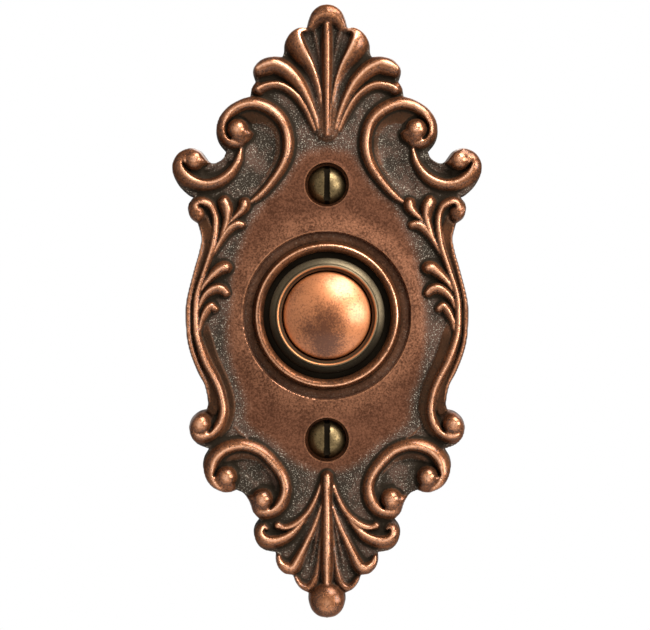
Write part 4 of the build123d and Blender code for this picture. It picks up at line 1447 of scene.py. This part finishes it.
    def gathered(self, height: Array, weight: Array) -> Array:
        """Dirt that gathers in creases and hollows.

        Args:
            height: Projection of the front over the grid.
            weight: Which cells count.

        Returns:
            The dirt, from 0 to 1.
        """
        p = self.patina
        near = soften(height, weight, p.crease_reach / self.cell) - height
        wide = soften(height, weight, p.hollow_reach / self.cell) - height
        dirt = smooth_step(*p.crease, near) + p.hollow_dirt * smooth_step(*p.hollow, wide)
        return np.clip(dirt, 0.0, 1.0)

    def sculpt(self) -> Carving:
        """Work out the front's heights and masks over the whole grid.

        Returns:
            The front.
        """
        half_width, low, high = self.reach
        columns = np.arange(0.0, half_width, self.cell)
        rows = np.arange(low, high, self.cell)
        across, up = np.meshgrid(columns, rows, indexing="ij")
        at = self.survey(across.ravel(), up.ravel())

        def whole(values: Array) -> Array:
            """Spread values of the right half over the whole grid."""
            half = values.reshape(across.shape)
            return np.concatenate([half[:0:-1], half])

        height = whole(self.heights(at))
        masks = {name: whole(values) for name, values in self.masks(at).items()}
        dirt = self.gathered(height, whole((at.inside > self.patina.brink).astype(float)))
        masks["grime"] = np.maximum(dirt * masks.pop("clean"), masks.pop("dirty"))
        inside = np.minimum.reduce([at.inside, at.radius - self.hole_r, at.bores - self.bore_r])
        return Carving(np.concatenate([-columns[:0:-1], columns]), rows, whole(inside), height, masks)

    def in_hole(self, x: float, z: float) -> bool:
        """Whether a cut belongs to the button's hole or to a counterbore."""
        bores = min(math.hypot(x, z - place) for place in self.screw_z)
        return math.hypot(x, z) < self.hole_r + self.cut_margin or bores < self.bore_r + self.cut_margin

    def front(self, maker: MeshMaker, carving: Carving) -> tuple[list[Loop], dict[str, list[float]]]:
        """Add the front's faces, cut off smoothly at the silhouette and the holes.

        Args:
            maker: Where the faces go.
            carving: Heights and masks of the grid.

        Returns:
            The loops of vertices round the cuts, and the masks of all the vertices.
        """
        depth, columns, rows = carving.inside, carving.columns, carving.rows
        kept = depth > 0
        number = np.full(depth.shape, -1)
        number[kept] = np.arange(kept.sum())
        at_x, at_z = np.nonzero(kept)
        maker.add(zip(columns[at_x], carving.height[kept], rows[at_z]))
        masks = {name: list(values[kept]) for name, values in carving.masks.items()}
        low, high = slice(None, -1), slice(1, None)
        corners = ((low, low), (high, low), (high, high), (low, high))
        full = np.logical_and.reduce([kept[corner] for corner in corners])
        some = np.logical_or.reduce([kept[corner] for corner in corners]) & ~full
        quads = np.stack([number[corner][full] for corner in corners], 1)
        maker.faces.extend(map(tuple, quads.tolist()))
        crossed: dict[tuple[Cell, Cell], int] = {}
        follows: dict[int, int] = {}

        def crossing(inner: Cell, outer: Cell) -> int:
            """Vertex where the cut crosses a grid line from an inner to an outer corner."""
            if (inner, outer) not in crossed:
                share = np.clip(depth[inner] / (depth[inner] - depth[outer]), *self.cut_share)

                def between(values: Array) -> float:
                    """Value where the cut crosses."""
                    return float(values[inner] + share * (values[outer] - values[inner]))

                x = columns[inner[0]] + share * (columns[outer[0]] - columns[inner[0]])
                z = rows[inner[1]] + share * (rows[outer[1]] - rows[inner[1]])
                height = between(carving.height) if self.in_hole(x, z) else self.edge
                crossed[inner, outer] = maker.add([(x, height, z)])[0]
                for name, values in carving.masks.items():
                    masks[name].append(between(values))
            return crossed[inner, outer]

        for i, j in np.argwhere(some).tolist():
            ring = [(i, j), (i + 1, j), (i + 1, j + 1), (i, j + 1)]
            face: Loop = []
            for here, there in zip(ring, ring[1:] + ring[:1]):
                if kept[here]:
                    face.append(int(number[here]))
                if kept[here] and not kept[there]:
                    leaving = crossing(here, there)
                    face.append(leaving)
                if kept[there] and not kept[here]:
                    entering = crossing(there, here)
                    face.append(entering)
            maker.faces.append(tuple(face))
            follows[leaving] = entering
        return self.loops(follows), masks

    @staticmethod
    def loops(follows: dict[int, int]) -> list[Loop]:
        """Chain edges into closed loops, the longest first.

        Args:
            follows: The vertex that follows each vertex.

        Returns:
            The loops.
        """
        found = []
        left = dict(follows)
        while left:
            first, here = left.popitem()
            loop = [first]
            while here != first:
                loop.append(here)
                here = left.pop(here)
            found.append(loop)
        return sorted(found, key=len, reverse=True)

    def back(self, maker: MeshMaker, loops: list[Loop]) -> None:
        """Add the side wall, the hollow back, the bosses and the holes.

        Args:
            maker: Where the faces go.
            loops: Loops round the silhouette, the button's hole and the two counterbores.
        """
        rim, hole, *bores = loops
        foot = maker.at(rim, 0.0)
        maker.bridge(rim, foot)
        half = smooth_line(HOLLOW_EDGE, self.hollow_step)
        outline = [*half, *[(-x, z) for x, z in half[-2:0:-1]]]
        mouth = maker.add((x, 0.0, z) for x, z in outline)
        bottom = maker.at(mouth, self.floor)
        maker.bridge(mouth, bottom)
        maker.cap(foot, mouth)
        hole_back = maker.at(hole, self.floor)
        maker.bridge(hole, hole_back)
        boss_feet = [self.screw_boss(maker, bore) for bore in bores]
        boss_feet += [self.base_boss(maker, x) for x in (-self.base_boss_x, self.base_boss_x)]
        maker.cap(bottom, hole_back, *boss_feet)

    def screw_boss(self, maker: MeshMaker, bore: Loop) -> Loop:
        """Add a counterbore, its screw's hole and the boss behind it.

        Args:
            maker: Where the faces go.
            bore: Loop round the counterbore's mouth.

        Returns:
            The loop round the boss's foot.
        """
        place = min(self.screw_z, key=lambda z: abs(z - maker.points[bore[0]][2]))
        seat = maker.at(bore, self.seat)
        maker.bridge(bore, seat)
        hole_top = maker.circle(0.0, place, self.screw_hole_r, self.seat)
        hole_end = maker.at(hole_top, 0.0)
        boss_end = maker.circle(0.0, place, self.boss_r, 0.0)
        boss_foot = maker.at(boss_end, self.floor)
        maker.cap(seat, hole_top)
        maker.bridge(hole_top, hole_end)
        maker.cap(boss_end, hole_end)
        maker.bridge(boss_end, boss_foot)
        return boss_foot

    def base_boss(self, maker: MeshMaker, x: float) -> Loop:
        """Add a boss with a tapped hole for the contact base.

        Args:
            maker: Where the faces go.
            x: Place across the plate.

        Returns:
            The loop round the boss's foot.
        """
        boss_foot = maker.circle(x, 0.0, self.base_boss_r, self.floor, self.base_boss_sides)
        boss_end = maker.at(boss_foot, self.base_boss_end)
        tapped = maker.circle(x, 0.0, self.tapped_r, self.base_boss_end, self.base_boss_sides)
        tapped_end = maker.at(tapped, self.tapped_end)
        maker.bridge(boss_foot, boss_end)
        maker.cap(boss_end, tapped)
        maker.bridge(tapped, tapped_end)
        maker.cap(tapped_end)
        return boss_foot

    def build(self) -> Piece:
        """Make the plate and its masks.

        Returns:
            The plate.
        """
        maker = MeshMaker()
        loops, masks = self.front(maker, self.sculpt())
        self.back(maker, loops)
        plate = maker.make("cast_plate", sharp=SHARP_TURNED)
        for name, values in masks.items():
            rest = [BACK_MASKS.get(name, 0.0)] * (len(maker.points) - len(values))
            store(plate, name, values + rest)
        return dress(plate, PLATE_BODY, AntiqueCopper().material(), "escutcheon")


@dataclass(frozen=True)
class Thread:
    """Thread that runs back along an axis square to the wall."""

    core_r: float
    crest_r: float
    pitch: float
    start: float
    end: float
    flank: float = 2.0  # How steep its crests are, from 2 where they touch one another
    point: float = 0.0  # Length of its pointed end, 0 for a blunt one
    turn_rows: int = 12

    def rows(self, maker: MeshMaker, x: float, z: float, shank_r: float, count: int) -> list[Loop]:
        """Add the thread's rows of vertices, up to its end.

        Args:
            maker: Where the vertices go.
            x: Axis across the plate.
            z: Axis up the plate.
            shank_r: Radius that it starts from.
            count: Number of vertices in a row.

        Returns:
            The rows.
        """
        rows = []
        steps = math.ceil((self.start - self.end) / self.pitch * self.turn_rows)
        for step in range(steps):
            place = self.start + (self.end - self.start) * step / steps
            taper = min(1.0, (place - self.end) / self.point) if self.point else 1.0
            run_in = min(1.0, (self.start - place) / self.pitch)
            plain = shank_r + (self.core_r - shank_r) * run_in
            ring = []
            for i, angle in enumerate(full_turn(count)):
                phase = (place / self.pitch + i / count) % 1.0
                ridge = max(0.0, 1.0 - abs(phase - 0.5) * self.flank)
                crest = self.core_r + (self.crest_r - self.core_r) * ridge * run_in
                radius = max(crest, plain if run_in < 1.0 else 0.0) * taper
                ring.append((x + radius * math.cos(angle), place, z + radius * math.sin(angle)))
            rows.append(maker.add(ring))
        return rows


@dataclass
class SlottedScrews:
    """Slotted screws square to the wall, made as one piece."""

    axes: tuple[Point, ...]  # Places of the screws as (x, z)
    seat: float  # Projection under the heads
    head_r: float
    head: float
    shank_r: float
    shank_end: float  # Projection where the plain shank ends
    slot: float  # Width of a slot
    slot_depth: float
    slot_break: float  # Width of the slots' broken edges
    clear: float  # How far the slots' cutter passes the heads
    sides: int
    thread: Thread

    @property
    def crown(self) -> float:
        """Projection of the heads' tops."""
        return self.seat + self.head

    def head_profile(self) -> list[Point]:
        """Profile of a head from below its top to its seat."""
        raise NotImplementedError

    def shape(self, name: str) -> Piece:
        """Make the screws with their threads and slots.

        Args:
            name: Name of the piece.

        Returns:
            The screws.
        """
        maker = MeshMaker()
        cutter = MeshMaker()
        shank = [(self.shank_r, self.seat), (self.shank_r, self.shank_end)]
        profile = self.head_profile() + shank
        half = self.slot / 2
        reach = self.head_r + self.clear
        for x, z in self.axes:
            rows = [maker.add([(x, self.crown, z)])]
            rows += [maker.circle(x, z, radius, place, self.sides) for radius, place in profile]
            rows += self.thread.rows(maker, x, z, self.shank_r, self.sides)
            if not self.thread.point:
                rows.append(maker.circle(x, z, self.thread.core_r, self.thread.end, self.sides))
            rows.append(maker.add([(x, self.thread.end, z)]))
            maker.skin(rows)
            low = (x - half, self.crown - self.slot_depth, z - reach)
            cutter.block(low, (x + half, self.crown + self.clear, z + reach))
        screws = maker.make(name, sharp=SHARP_TURNED)
        cut_away(screws, cutter.make("slot_cutter"), self.slot_break)
        return screws


@dataclass
class MountingScrews(SlottedScrews):
    """Round-head wood screws that hold the plate to the wall."""

    axes: tuple[Point, ...] = tuple((0.0, z) for z in SCREW_Z)
    seat: float = SCREW_SEAT
    head_r: float = 4.0
    head: float = 2.8
    shank_r: float = 2.085
    shank_end: float = 0.6
    slot: float = 1.15
    slot_depth: float = 1.5
    slot_break: float = 0.07
    clear: float = 1.0
    sides: int = 64
    thread: Thread = Thread(1.28, 1.8, pitch=1.69, start=0.2, end=-21.4, flank=4.2, point=5.5)
    brim: float = 0.02  # Height of a head's straight brim
    brim_break: float = 0.12  # Width of the broken edge under the brim
    crown_rows: int = 14
    dirt_strength: float = 0.95
    dirt_margin: float = 0.02  # How far the slots' dirt reaches beside a slot
    dirt_top: float = 0.35  # How far below a head's top that dirt starts

    def head_profile(self) -> list[Point]:
        """Profile of a round head from below its top to its seat."""
        brim = [(self.head_r, self.seat + self.brim), (self.head_r - self.brim_break, self.seat)]
        return cap_profile(self.head_r, self.head, self.crown, self.crown_rows)[1:] + brim

    def dirt(self, x: Array, t: Array, z: Array) -> Array:
        """Dirt in the slots."""
        in_slot = np.abs(x) < self.slot / 2 + self.dirt_margin
        return self.dirt_strength * in_slot * (t < self.crown - self.dirt_top)

    def build(self) -> Piece:
        """Make both screws and their dirt.

        Returns:
            The screws.
        """
        screws = self.shape("wood_screws")
        paint(screws, "dirt", self.dirt)
        return dress(screws, PLATE_BODY, SCREW_BRASS.material(), "mounting_screws")


@dataclass
class ButtonSleeve:
    """Turned sleeve round the button: a conical collar, a bead and a flange behind the plate.

    A name with _r is a radius, as are the bead's inner and outer edge. Other lengths are projections.
    """

    flange_r: float = 15.3
    flange_back: float = 2.9
    flange_front: float = 4.0
    collar_r: float = 11.9
    shoulder: float = 6.6
    bead_outer: float = 10.6
    bead_inner: float = 9.85
    bead_foot: float = 7.5
    bead_crest: float = 8.0
    bead_rows: int = 10
    quirk: Point = (0.12, 0.1)  # Width and depth of the nick between bead and collar
    bore_r: float = 9.3
    cove: float = 6.8
    step: float = 5.2  # Step that holds the button's flange
    seat_r: float = 10.9
    corner: float = 0.18  # Most that a corner is rounded
    sides: int = 160
    sharp: float = 60.0
    worn_at: float = 0.17  # Distance of the worn line outside the bead's inner edge
    worn_fade: Point = (0.32, 0.1)  # Distances beside that line where it starts and is full
    bore_worn: float = 0.45
    bore_margin: float = 0.05
    back_dirt: float = 0.9
    back_margin: float = 0.3  # How far behind the shoulder the dirt there ends
    # Strength of the painted shade that darkens the collar towards its bottom
    painted_low_shade: float = 0.88
    painted_shade_reach: Point = (5.0, -8.0)  # Heights where that painted shade starts and is full

    def worn(self, x: Array, t: Array, z: Array) -> Array:
        """Copper that shows on the bead's inner side and, weaker, in the bore.

        Args:
            x: Places across.
            t: Their projections.
            z: Places up.

        Returns:
            The mask.
        """
        radius = np.hypot(x, z)
        beside = np.abs(radius - self.bead_inner - self.worn_at)
        line = smooth_step(*self.worn_fade, beside) * (t > self.bead_foot)
        return np.maximum(line, self.bore_worn * (radius < self.bead_inner - self.bore_margin))

    def dirt(self, x: Array, t: Array, z: Array) -> Array:
        """Dirt behind the shoulder, and painted shade on the collar's lower half.

        Args:
            x: Places across.
            t: Their projections.
            z: Places up.

        Returns:
            The mask.
        """
        behind = self.back_dirt * (1.0 - smooth_step(self.step, self.shoulder - self.back_margin, t))
        # Painted shade: the collar gets darker towards its bottom
        below = self.painted_low_shade * smooth_step(*self.painted_shade_reach, z)
        return np.maximum(behind, below * (np.hypot(x, z) > self.bead_outer))

    def build(self) -> Piece:
        """Make the sleeve.

        Returns:
            The sleeve.
        """
        middle = (self.bead_outer + self.bead_inner) / 2
        half = (self.bead_outer - self.bead_inner) / 2
        rise = self.bead_crest - self.bead_foot
        angles = [math.pi * i / self.bead_rows for i in range(self.bead_rows + 1)]
        bead = [(middle + half * math.cos(a), self.bead_foot + rise * math.sin(a)) for a in angles]
        inside = [(self.bore_r, self.cove), (self.bore_r, self.step), (self.seat_r, self.step)]
        inside += [(self.seat_r, self.flange_back), (self.flange_r, self.flange_back)]
        outside = [(self.flange_r, self.flange_front), (self.collar_r, self.flange_front)]
        outside.append((self.collar_r, self.shoulder))
        outside.append((self.bead_outer + self.quirk[0], self.bead_foot - self.quirk[1]))
        profile = round_corners([bead[-1], *inside, *outside, bead[0]], self.corner)
        maker = MeshMaker()
        maker.lathe([*bead, *profile[1:-1]], self.sides, ring=True)
        sleeve = maker.make("turned_sleeve", self.sharp)
        paint(sleeve, "worn", self.worn)
        # The dirt mask holds dirt behind the shoulder and painted shade on the collar's lower half
        paint(sleeve, "dirt", self.dirt)
        return dress(sleeve, PLATE_BODY, SLEEVE_BRONZE.material(), "button_sleeve")


@dataclass
class PushButton:
    """Domed button with its retaining flange and stem.

    A name with _r is a radius, and the other lengths of dome, flange and stem are projections.
    """

    dome_r: float = 9.0
    dome_top: float = 10.85
    dome_edge: float = 7.25
    dome_rows: int = 40  # Steps from the dome's top to its edge
    dome_kept: int = 38  # Points of those that are left before the edge's round
    edge_round: float = 1.0  # Most that the edge is rounded
    flange_r: float = 10.6
    flange_front: float = 5.15
    flange_back: float = 4.55
    stem_r: float = 2.2
    stem_end: float = 1.25
    sides: int = 160
    painted_dark_at: Point = (-0.6, -3.8)  # Middle of the dark patch: a painted dark reflection in the dome's middle, spread down as painted shade
    painted_dark_shape: Point = (0.95, 1.3)  # How wide and how high that patch is, as shares of its radius
    painted_dark_r: float = 7.6
    gap_dirt: float = 0.85
    gap: Point = (5.6, 6.6)  # Projections where the dirt round the dome starts to fade and ends

    def patch(self, x: Array, t: Array, z: Array) -> Array:
        """Painted dark reflection in the dome's middle, spread down as painted shade over its lower part.

        Args:
            x: Places across.
            t: Their projections.
            z: Places up.

        Returns:
            The mask.
        """
        across = (x - self.painted_dark_at[0]) / self.painted_dark_shape[0]
        up = (z - self.painted_dark_at[1]) / self.painted_dark_shape[1]
        return 1.0 - smooth_step(0.0, self.painted_dark_r, np.hypot(across, up))

    def dirt(self, x: Array, t: Array, z: Array) -> Array:
        """Dirt in the gap round the dome."""
        return self.gap_dirt * (1.0 - smooth_step(*self.gap, t))

    def build(self) -> Piece:
        """Make the button.

        Returns:
            The button.
        """
        height = self.dome_top - self.dome_edge
        dome = cap_profile(self.dome_r, height, self.dome_top, self.dome_rows)[: self.dome_kept]
        side = [dome[-1], (self.dome_r, self.dome_edge), (self.dome_r, self.flange_front)]
        side += [(self.flange_r, self.flange_front), (self.flange_r, self.flange_back)]
        side += [(self.stem_r, self.flange_back), (self.stem_r, self.stem_end), (0.0, self.stem_end)]
        maker = MeshMaker()
        maker.lathe([*dome[:-1], *round_corners(side, self.edge_round, 6)], self.sides)
        button = maker.make("domed_button", sharp=SHARP_TURNED)
        # Painted dark reflection and painted shade on the dome
        paint(button, "patch", self.patch)
        paint(button, "dirt", self.dirt)
        return dress(button, BUTTON_BODY, DOME_COPPER.material(), "push_button")


@dataclass
class ReturnSpring:
    """Coil spring between the base and the button's flange."""

    wire_r: float = 0.28
    coil_r: float = 10.32
    low: float = -0.5  # Projection of its seat on the base
    high: float = 4.55  # Projection of the flange that it pushes
    gap: float = 0.02  # Gap that the coil leaves at both ends
    turns: float = 3.5
    sides: int = 10
    stations: int = 160  # Steps along the wire

    def build(self) -> Piece:
        """Make the coil.

        Returns:
            The spring.
        """
        maker = MeshMaker()
        start = self.low + self.wire_r + self.gap
        rise = self.high - self.wire_r - self.gap - start
        rings = []
        for station in range(self.stations + 1):
            share = station / self.stations
            angle = 2 * math.pi * self.turns * share
            ring = []
            for turn in full_turn(self.sides):
                radius = self.coil_r + self.wire_r * math.cos(turn)
                place = start + rise * share + self.wire_r * math.sin(turn)
                ring.append((radius * math.cos(angle), place, radius * math.sin(angle)))
            rings.append(maker.add(ring))
        maker.sweep(rings)
        spring = maker.make("coil_spring")
        dress(spring, PLATE_BODY, SPRING_STEEL.material(), "return_spring")
        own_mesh(spring)
        return spring


@dataclass
class ContactLeaf:
    """Bent leaf that the button's stem pushes, with a contact under its flat."""

    foot_end: float = 8.4  # Distance of the foot's end from the button's axis
    bend: float = 4.9  # Distance of the foot's bend from the axis
    flat: float = 1.9  # Half length of the flat under the stem
    low: float = -2.0  # Projection of the foot
    high: float = 0.9  # Projection of the flat
    bend_round: float = 0.8
    thickness: float = 0.3
    width: float = 4.0
    contact_r: float = 0.9
    contact: float = 0.5
    contact_side: float = 0.3  # Height of the contact's straight side
    contact_face: float = 0.6  # Radius of its face as a share of contact_r
    contact_sides: int = 32
    hole_x: float = -TERMINAL_X
    hole_r: float = 1.28
    hole_sides: int = 40
    edge_break: float = 0.03
    clear: float = 1.0

    def strip(self, maker: MeshMaker) -> None:
        """Add the bent strip.

        Args:
            maker: Where the faces go.
        """
        corners = [(-self.foot_end, self.low), (-self.bend, self.low)]
        corners += [(-self.flat, self.high), (self.flat, self.high)]
        line = round_corners(corners, self.bend_round, 6)
        half = self.width / 2
        rows = []
        for i, (x, place) in enumerate(line):
            before = Vector(line[max(i - 1, 0)])
            after = Vector(line[min(i + 1, len(line) - 1)])
            way = (after - before).normalized()
            over = Vector((-way.y, way.x)) * self.thickness
            section = [(x, place, -half), (x, place, half)]
            section += [(x + over.x, place + over.y, half), (x + over.x, place + over.y, -half)]
            rows.append(maker.add(section))
        maker.sweep(rows)

    def build(self) -> Piece:
        """Make the leaf with its contact and hole.

        Returns:
            The leaf.
        """
        maker = MeshMaker()
        self.strip(maker)
        end = self.high - self.contact
        contact = [(0.0, self.high), (self.contact_r, self.high)]
        contact.append((self.contact_r, self.high - self.contact_side))
        contact += [(self.contact_r * self.contact_face, end), (0.0, end)]
        maker.lathe(contact, self.contact_sides)
        leaf = maker.make("leaf_contact")
        cutter = MeshMaker()
        below, above = self.low - self.clear, self.low + self.clear
        hole = [(0.0, below), (self.hole_r, below), (self.hole_r, above), (0.0, above)]
        cutter.lathe(hole, self.hole_sides, self.hole_x)
        cut_away(leaf, cutter.make("hole_cutter"), self.edge_break)
        dress(leaf, PLATE_BODY, CONTACT_BRONZE.material(), "contact_leaf")
        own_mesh(leaf)
        return leaf


@dataclass
class TerminalScrews(SlottedScrews):
    """Screws through the contacts, with threads behind the base for the bell wires."""

    axes: tuple[Point, ...] = ((-TERMINAL_X, 0.0), (TERMINAL_X, 0.0))
    seat: float = -1.7
    head_r: float = 1.6
    head: float = 1.0
    shank_r: float = 1.2
    shank_end: float = -4.0
    slot: float = 0.5
    slot_depth: float = 0.5
    slot_break: float = 0.03
    clear: float = 0.5
    sides: int = 48
    thread: Thread = Thread(0.93, 1.2, pitch=0.45, start=-4.1, end=-8.5)
    bevel: float = 0.3  # Width of the bevel round a head

    def head_profile(self) -> list[Point]:
        """Profile of a flat head from below its top to its seat."""
        top = [(self.head_r - self.bevel, self.crown), (self.head_r, self.crown - self.bevel)]
        return [*top, (self.head_r, self.seat)]

    def build(self) -> Piece:
        """Make both screws."""
        screws = self.shape("binding_screws")
        return dress(screws, PLATE_BODY, BRIGHT_BRASS.material(), "terminal_screws")


@dataclass
class TerminalNuts:
    """Hexagonal nuts with their corners chamfered on both faces."""

    places: Point = (-TERMINAL_X, TERMINAL_X)
    across_flats: float = 4.4
    back: float = -6.8
    front: float = -5.0
    hole_r: float = 1.28
    face_r: float = 2.1
    chamfer: float = math.radians(30.0)  # Slope of the chamfers
    sides: int = 72
    sharp: float = 25.0

    def build(self) -> Piece:
        """Make both nuts as one piece.

        Returns:
            The nuts.
        """
        maker = MeshMaker()
        angles = full_turn(self.sides)
        reach = [self.across_flats / 2 / math.cos(a % (math.pi / 3) - math.pi / 6) for a in angles]
        drop = [(r - self.face_r) * math.tan(self.chamfer) for r in reach]
        faces = (self.hole_r, self.face_r)
        for x in self.places:
            outline = [(x + r * math.cos(a), r * math.sin(a)) for r, a in zip(reach, angles)]
            rows = [maker.circle(x, 0.0, radius, self.front, self.sides) for radius in faces]
            rows.append(maker.add((px, self.front - d, pz) for (px, pz), d in zip(outline, drop)))
            rows.append(maker.add((px, self.back + d, pz) for (px, pz), d in zip(outline, drop)))
            rows += [maker.circle(x, 0.0, radius, self.back, self.sides) for radius in faces[::-1]]
            maker.skin([*rows, rows[0]])
        nuts = maker.make("binding_nuts", self.sharp)
        return dress(nuts, PLATE_BODY, BRIGHT_BRASS.material(), "terminal_nuts")


class BackFittings:
    """Solids behind the plate that keep their own shape and only take a finish."""

    def build(self) -> None:
        """Dress the contact base, its screws, the fixed contact and the washers."""
        finishes = {
            "contact_base": DarkMoulding(),
            "base_screws": SPRING_STEEL,
            "contact_strip": CONTACT_BRONZE,
            "contact_rivet": CONTACT_SILVER,
            "terminal_washers": BRIGHT_BRASS,
        }
        for node, finish in finishes.items():
            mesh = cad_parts[node].data
            mesh.materials.clear()
            mesh.materials.append(finish.material())


@dataclass(frozen=True)
class Lamp:
    """Square soft lamp that faces the plate, with its place and side in metres and its power in watts."""

    name: str
    place: Triple
    size: float
    power: float

    def hang(self) -> None:
        """Hang the lamp."""
        data = bpy.data.lights.new(self.name, "AREA")
        data.shape = "SQUARE"
        data.size = self.size
        data.energy = self.power
        lamp = add_object(self.name, data)
        lamp.location = self.place
        lamp.rotation_euler = (-Vector(self.place)).to_track_quat("-Z", "Y").to_euler()


@dataclass
class Studio:
    """White studio with a soft key light from the upper right and a camera square to the plate."""

    image_width: int = 650  # Width of the image in pixels
    pixel: float = 0.2075  # Size of a pixel at the plane that is in focus
    centre: Point = (-0.41, 0.1)  # Place on the plate at the image's centre
    plane: float = 3.0  # Projection of that plane
    lens: float = 120.0
    sensor: float = 36.0
    floor_z: float = -150.0
    floor_r: float = 220.0
    floor_sides: int = 96
    ambient: float = 0.28  # Strength of the light from all round
    mirrored: float = 0.74  # Strength of the white surroundings that metal mirrors
    lamps: tuple[Lamp, ...] = (
        Lamp("key", (0.18, -0.22, 0.35), 0.3, 5.3),
        Lamp("side", (0.5, -0.34, 0.06), 0.3, 4.3),
        Lamp("fill", (-0.6, -0.5, 0.1), 0.8, 0.6),
        Lamp("back", (0.2, 0.7, 0.5), 0.6, 3.0),
    )

    def camera(self) -> None:
        """Place the camera square to the plate."""
        data = bpy.data.cameras.new("camera")
        data.lens = self.lens
        data.sensor_width = self.sensor
        data.sensor_fit = "AUTO"
        data.clip_start = 0.01
        camera = add_object("camera", data)
        distance = self.image_width * self.pixel * self.lens / self.sensor
        camera.location = (self.centre[0] * MM, -(distance + self.plane) * MM, self.centre[1] * MM)
        camera.rotation_euler = (math.pi / 2, 0.0, 0.0)
        bpy.context.scene.camera = camera

    def world(self) -> None:
        """Light the scene softly, and show white where nothing is in the way."""
        world = bpy.data.worlds.new("studio")
        bpy.context.scene.world = world
        world.use_nodes = True
        nodes = NodeTree(world.node_tree)
        path = nodes.node("ShaderNodeLightPath")
        seen = Wire(nodes, path.outputs["Is Camera Ray"])
        mirrored = Wire(nodes, path.outputs["Is Glossy Ray"]) * self.mirrored
        backdrop = nodes.tree.nodes["Background"]
        nodes.feed(backdrop.inputs["Color"], (1.0, 1.0, 1.0))
        strength = seen.math("MAXIMUM", mirrored).math("MAXIMUM", self.ambient)
        nodes.feed(backdrop.inputs["Strength"], strength)

    def floor(self) -> None:
        """Lay a pale floor below the plate, out of the camera's view."""
        maker = MeshMaker()
        around = [(math.cos(a), math.sin(a)) for a in full_turn(self.floor_sides)]
        rim = [(self.floor_r * x, self.floor_r * t, self.floor_z) for x, t in around]
        maker.faces.append(tuple(maker.add(rim)))
        ground = maker.make("floor")
        s = Shader("pale_floor")
        cloud = s.noise(60.0).step(0.0, 1.0)
        material = s.finish(cloud, 0.01, Base_Color=(0.85, 0.85, 0.84), Roughness=0.8)
        ground.data.materials.append(material)

    def build(self) -> None:
        """Set up the camera, world, floor and lamps."""
        bpy.context.scene.view_settings.view_transform = "Standard"
        self.camera()
        self.world()
        self.floor()
        for lamp in self.lamps:
            lamp.hang()


def main() -> None:
    """Build the part piece by piece, then the studio round it."""
    logging.basicConfig(level=logging.INFO, format="%(name)s: %(message)s")
    pieces = (
        Escutcheon(),
        MountingScrews(),
        ButtonSleeve(),
        PushButton(),
        ReturnSpring(),
        ContactLeaf(),
        TerminalScrews(),
        TerminalNuts(),
    )
    for piece in pieces:
        made = piece.build()
        LOG.info("%s: %d faces", made.name, len(made.data.polygons))
    BackFittings().build()
    Studio().build()


if __name__ == "__main__":
    main()
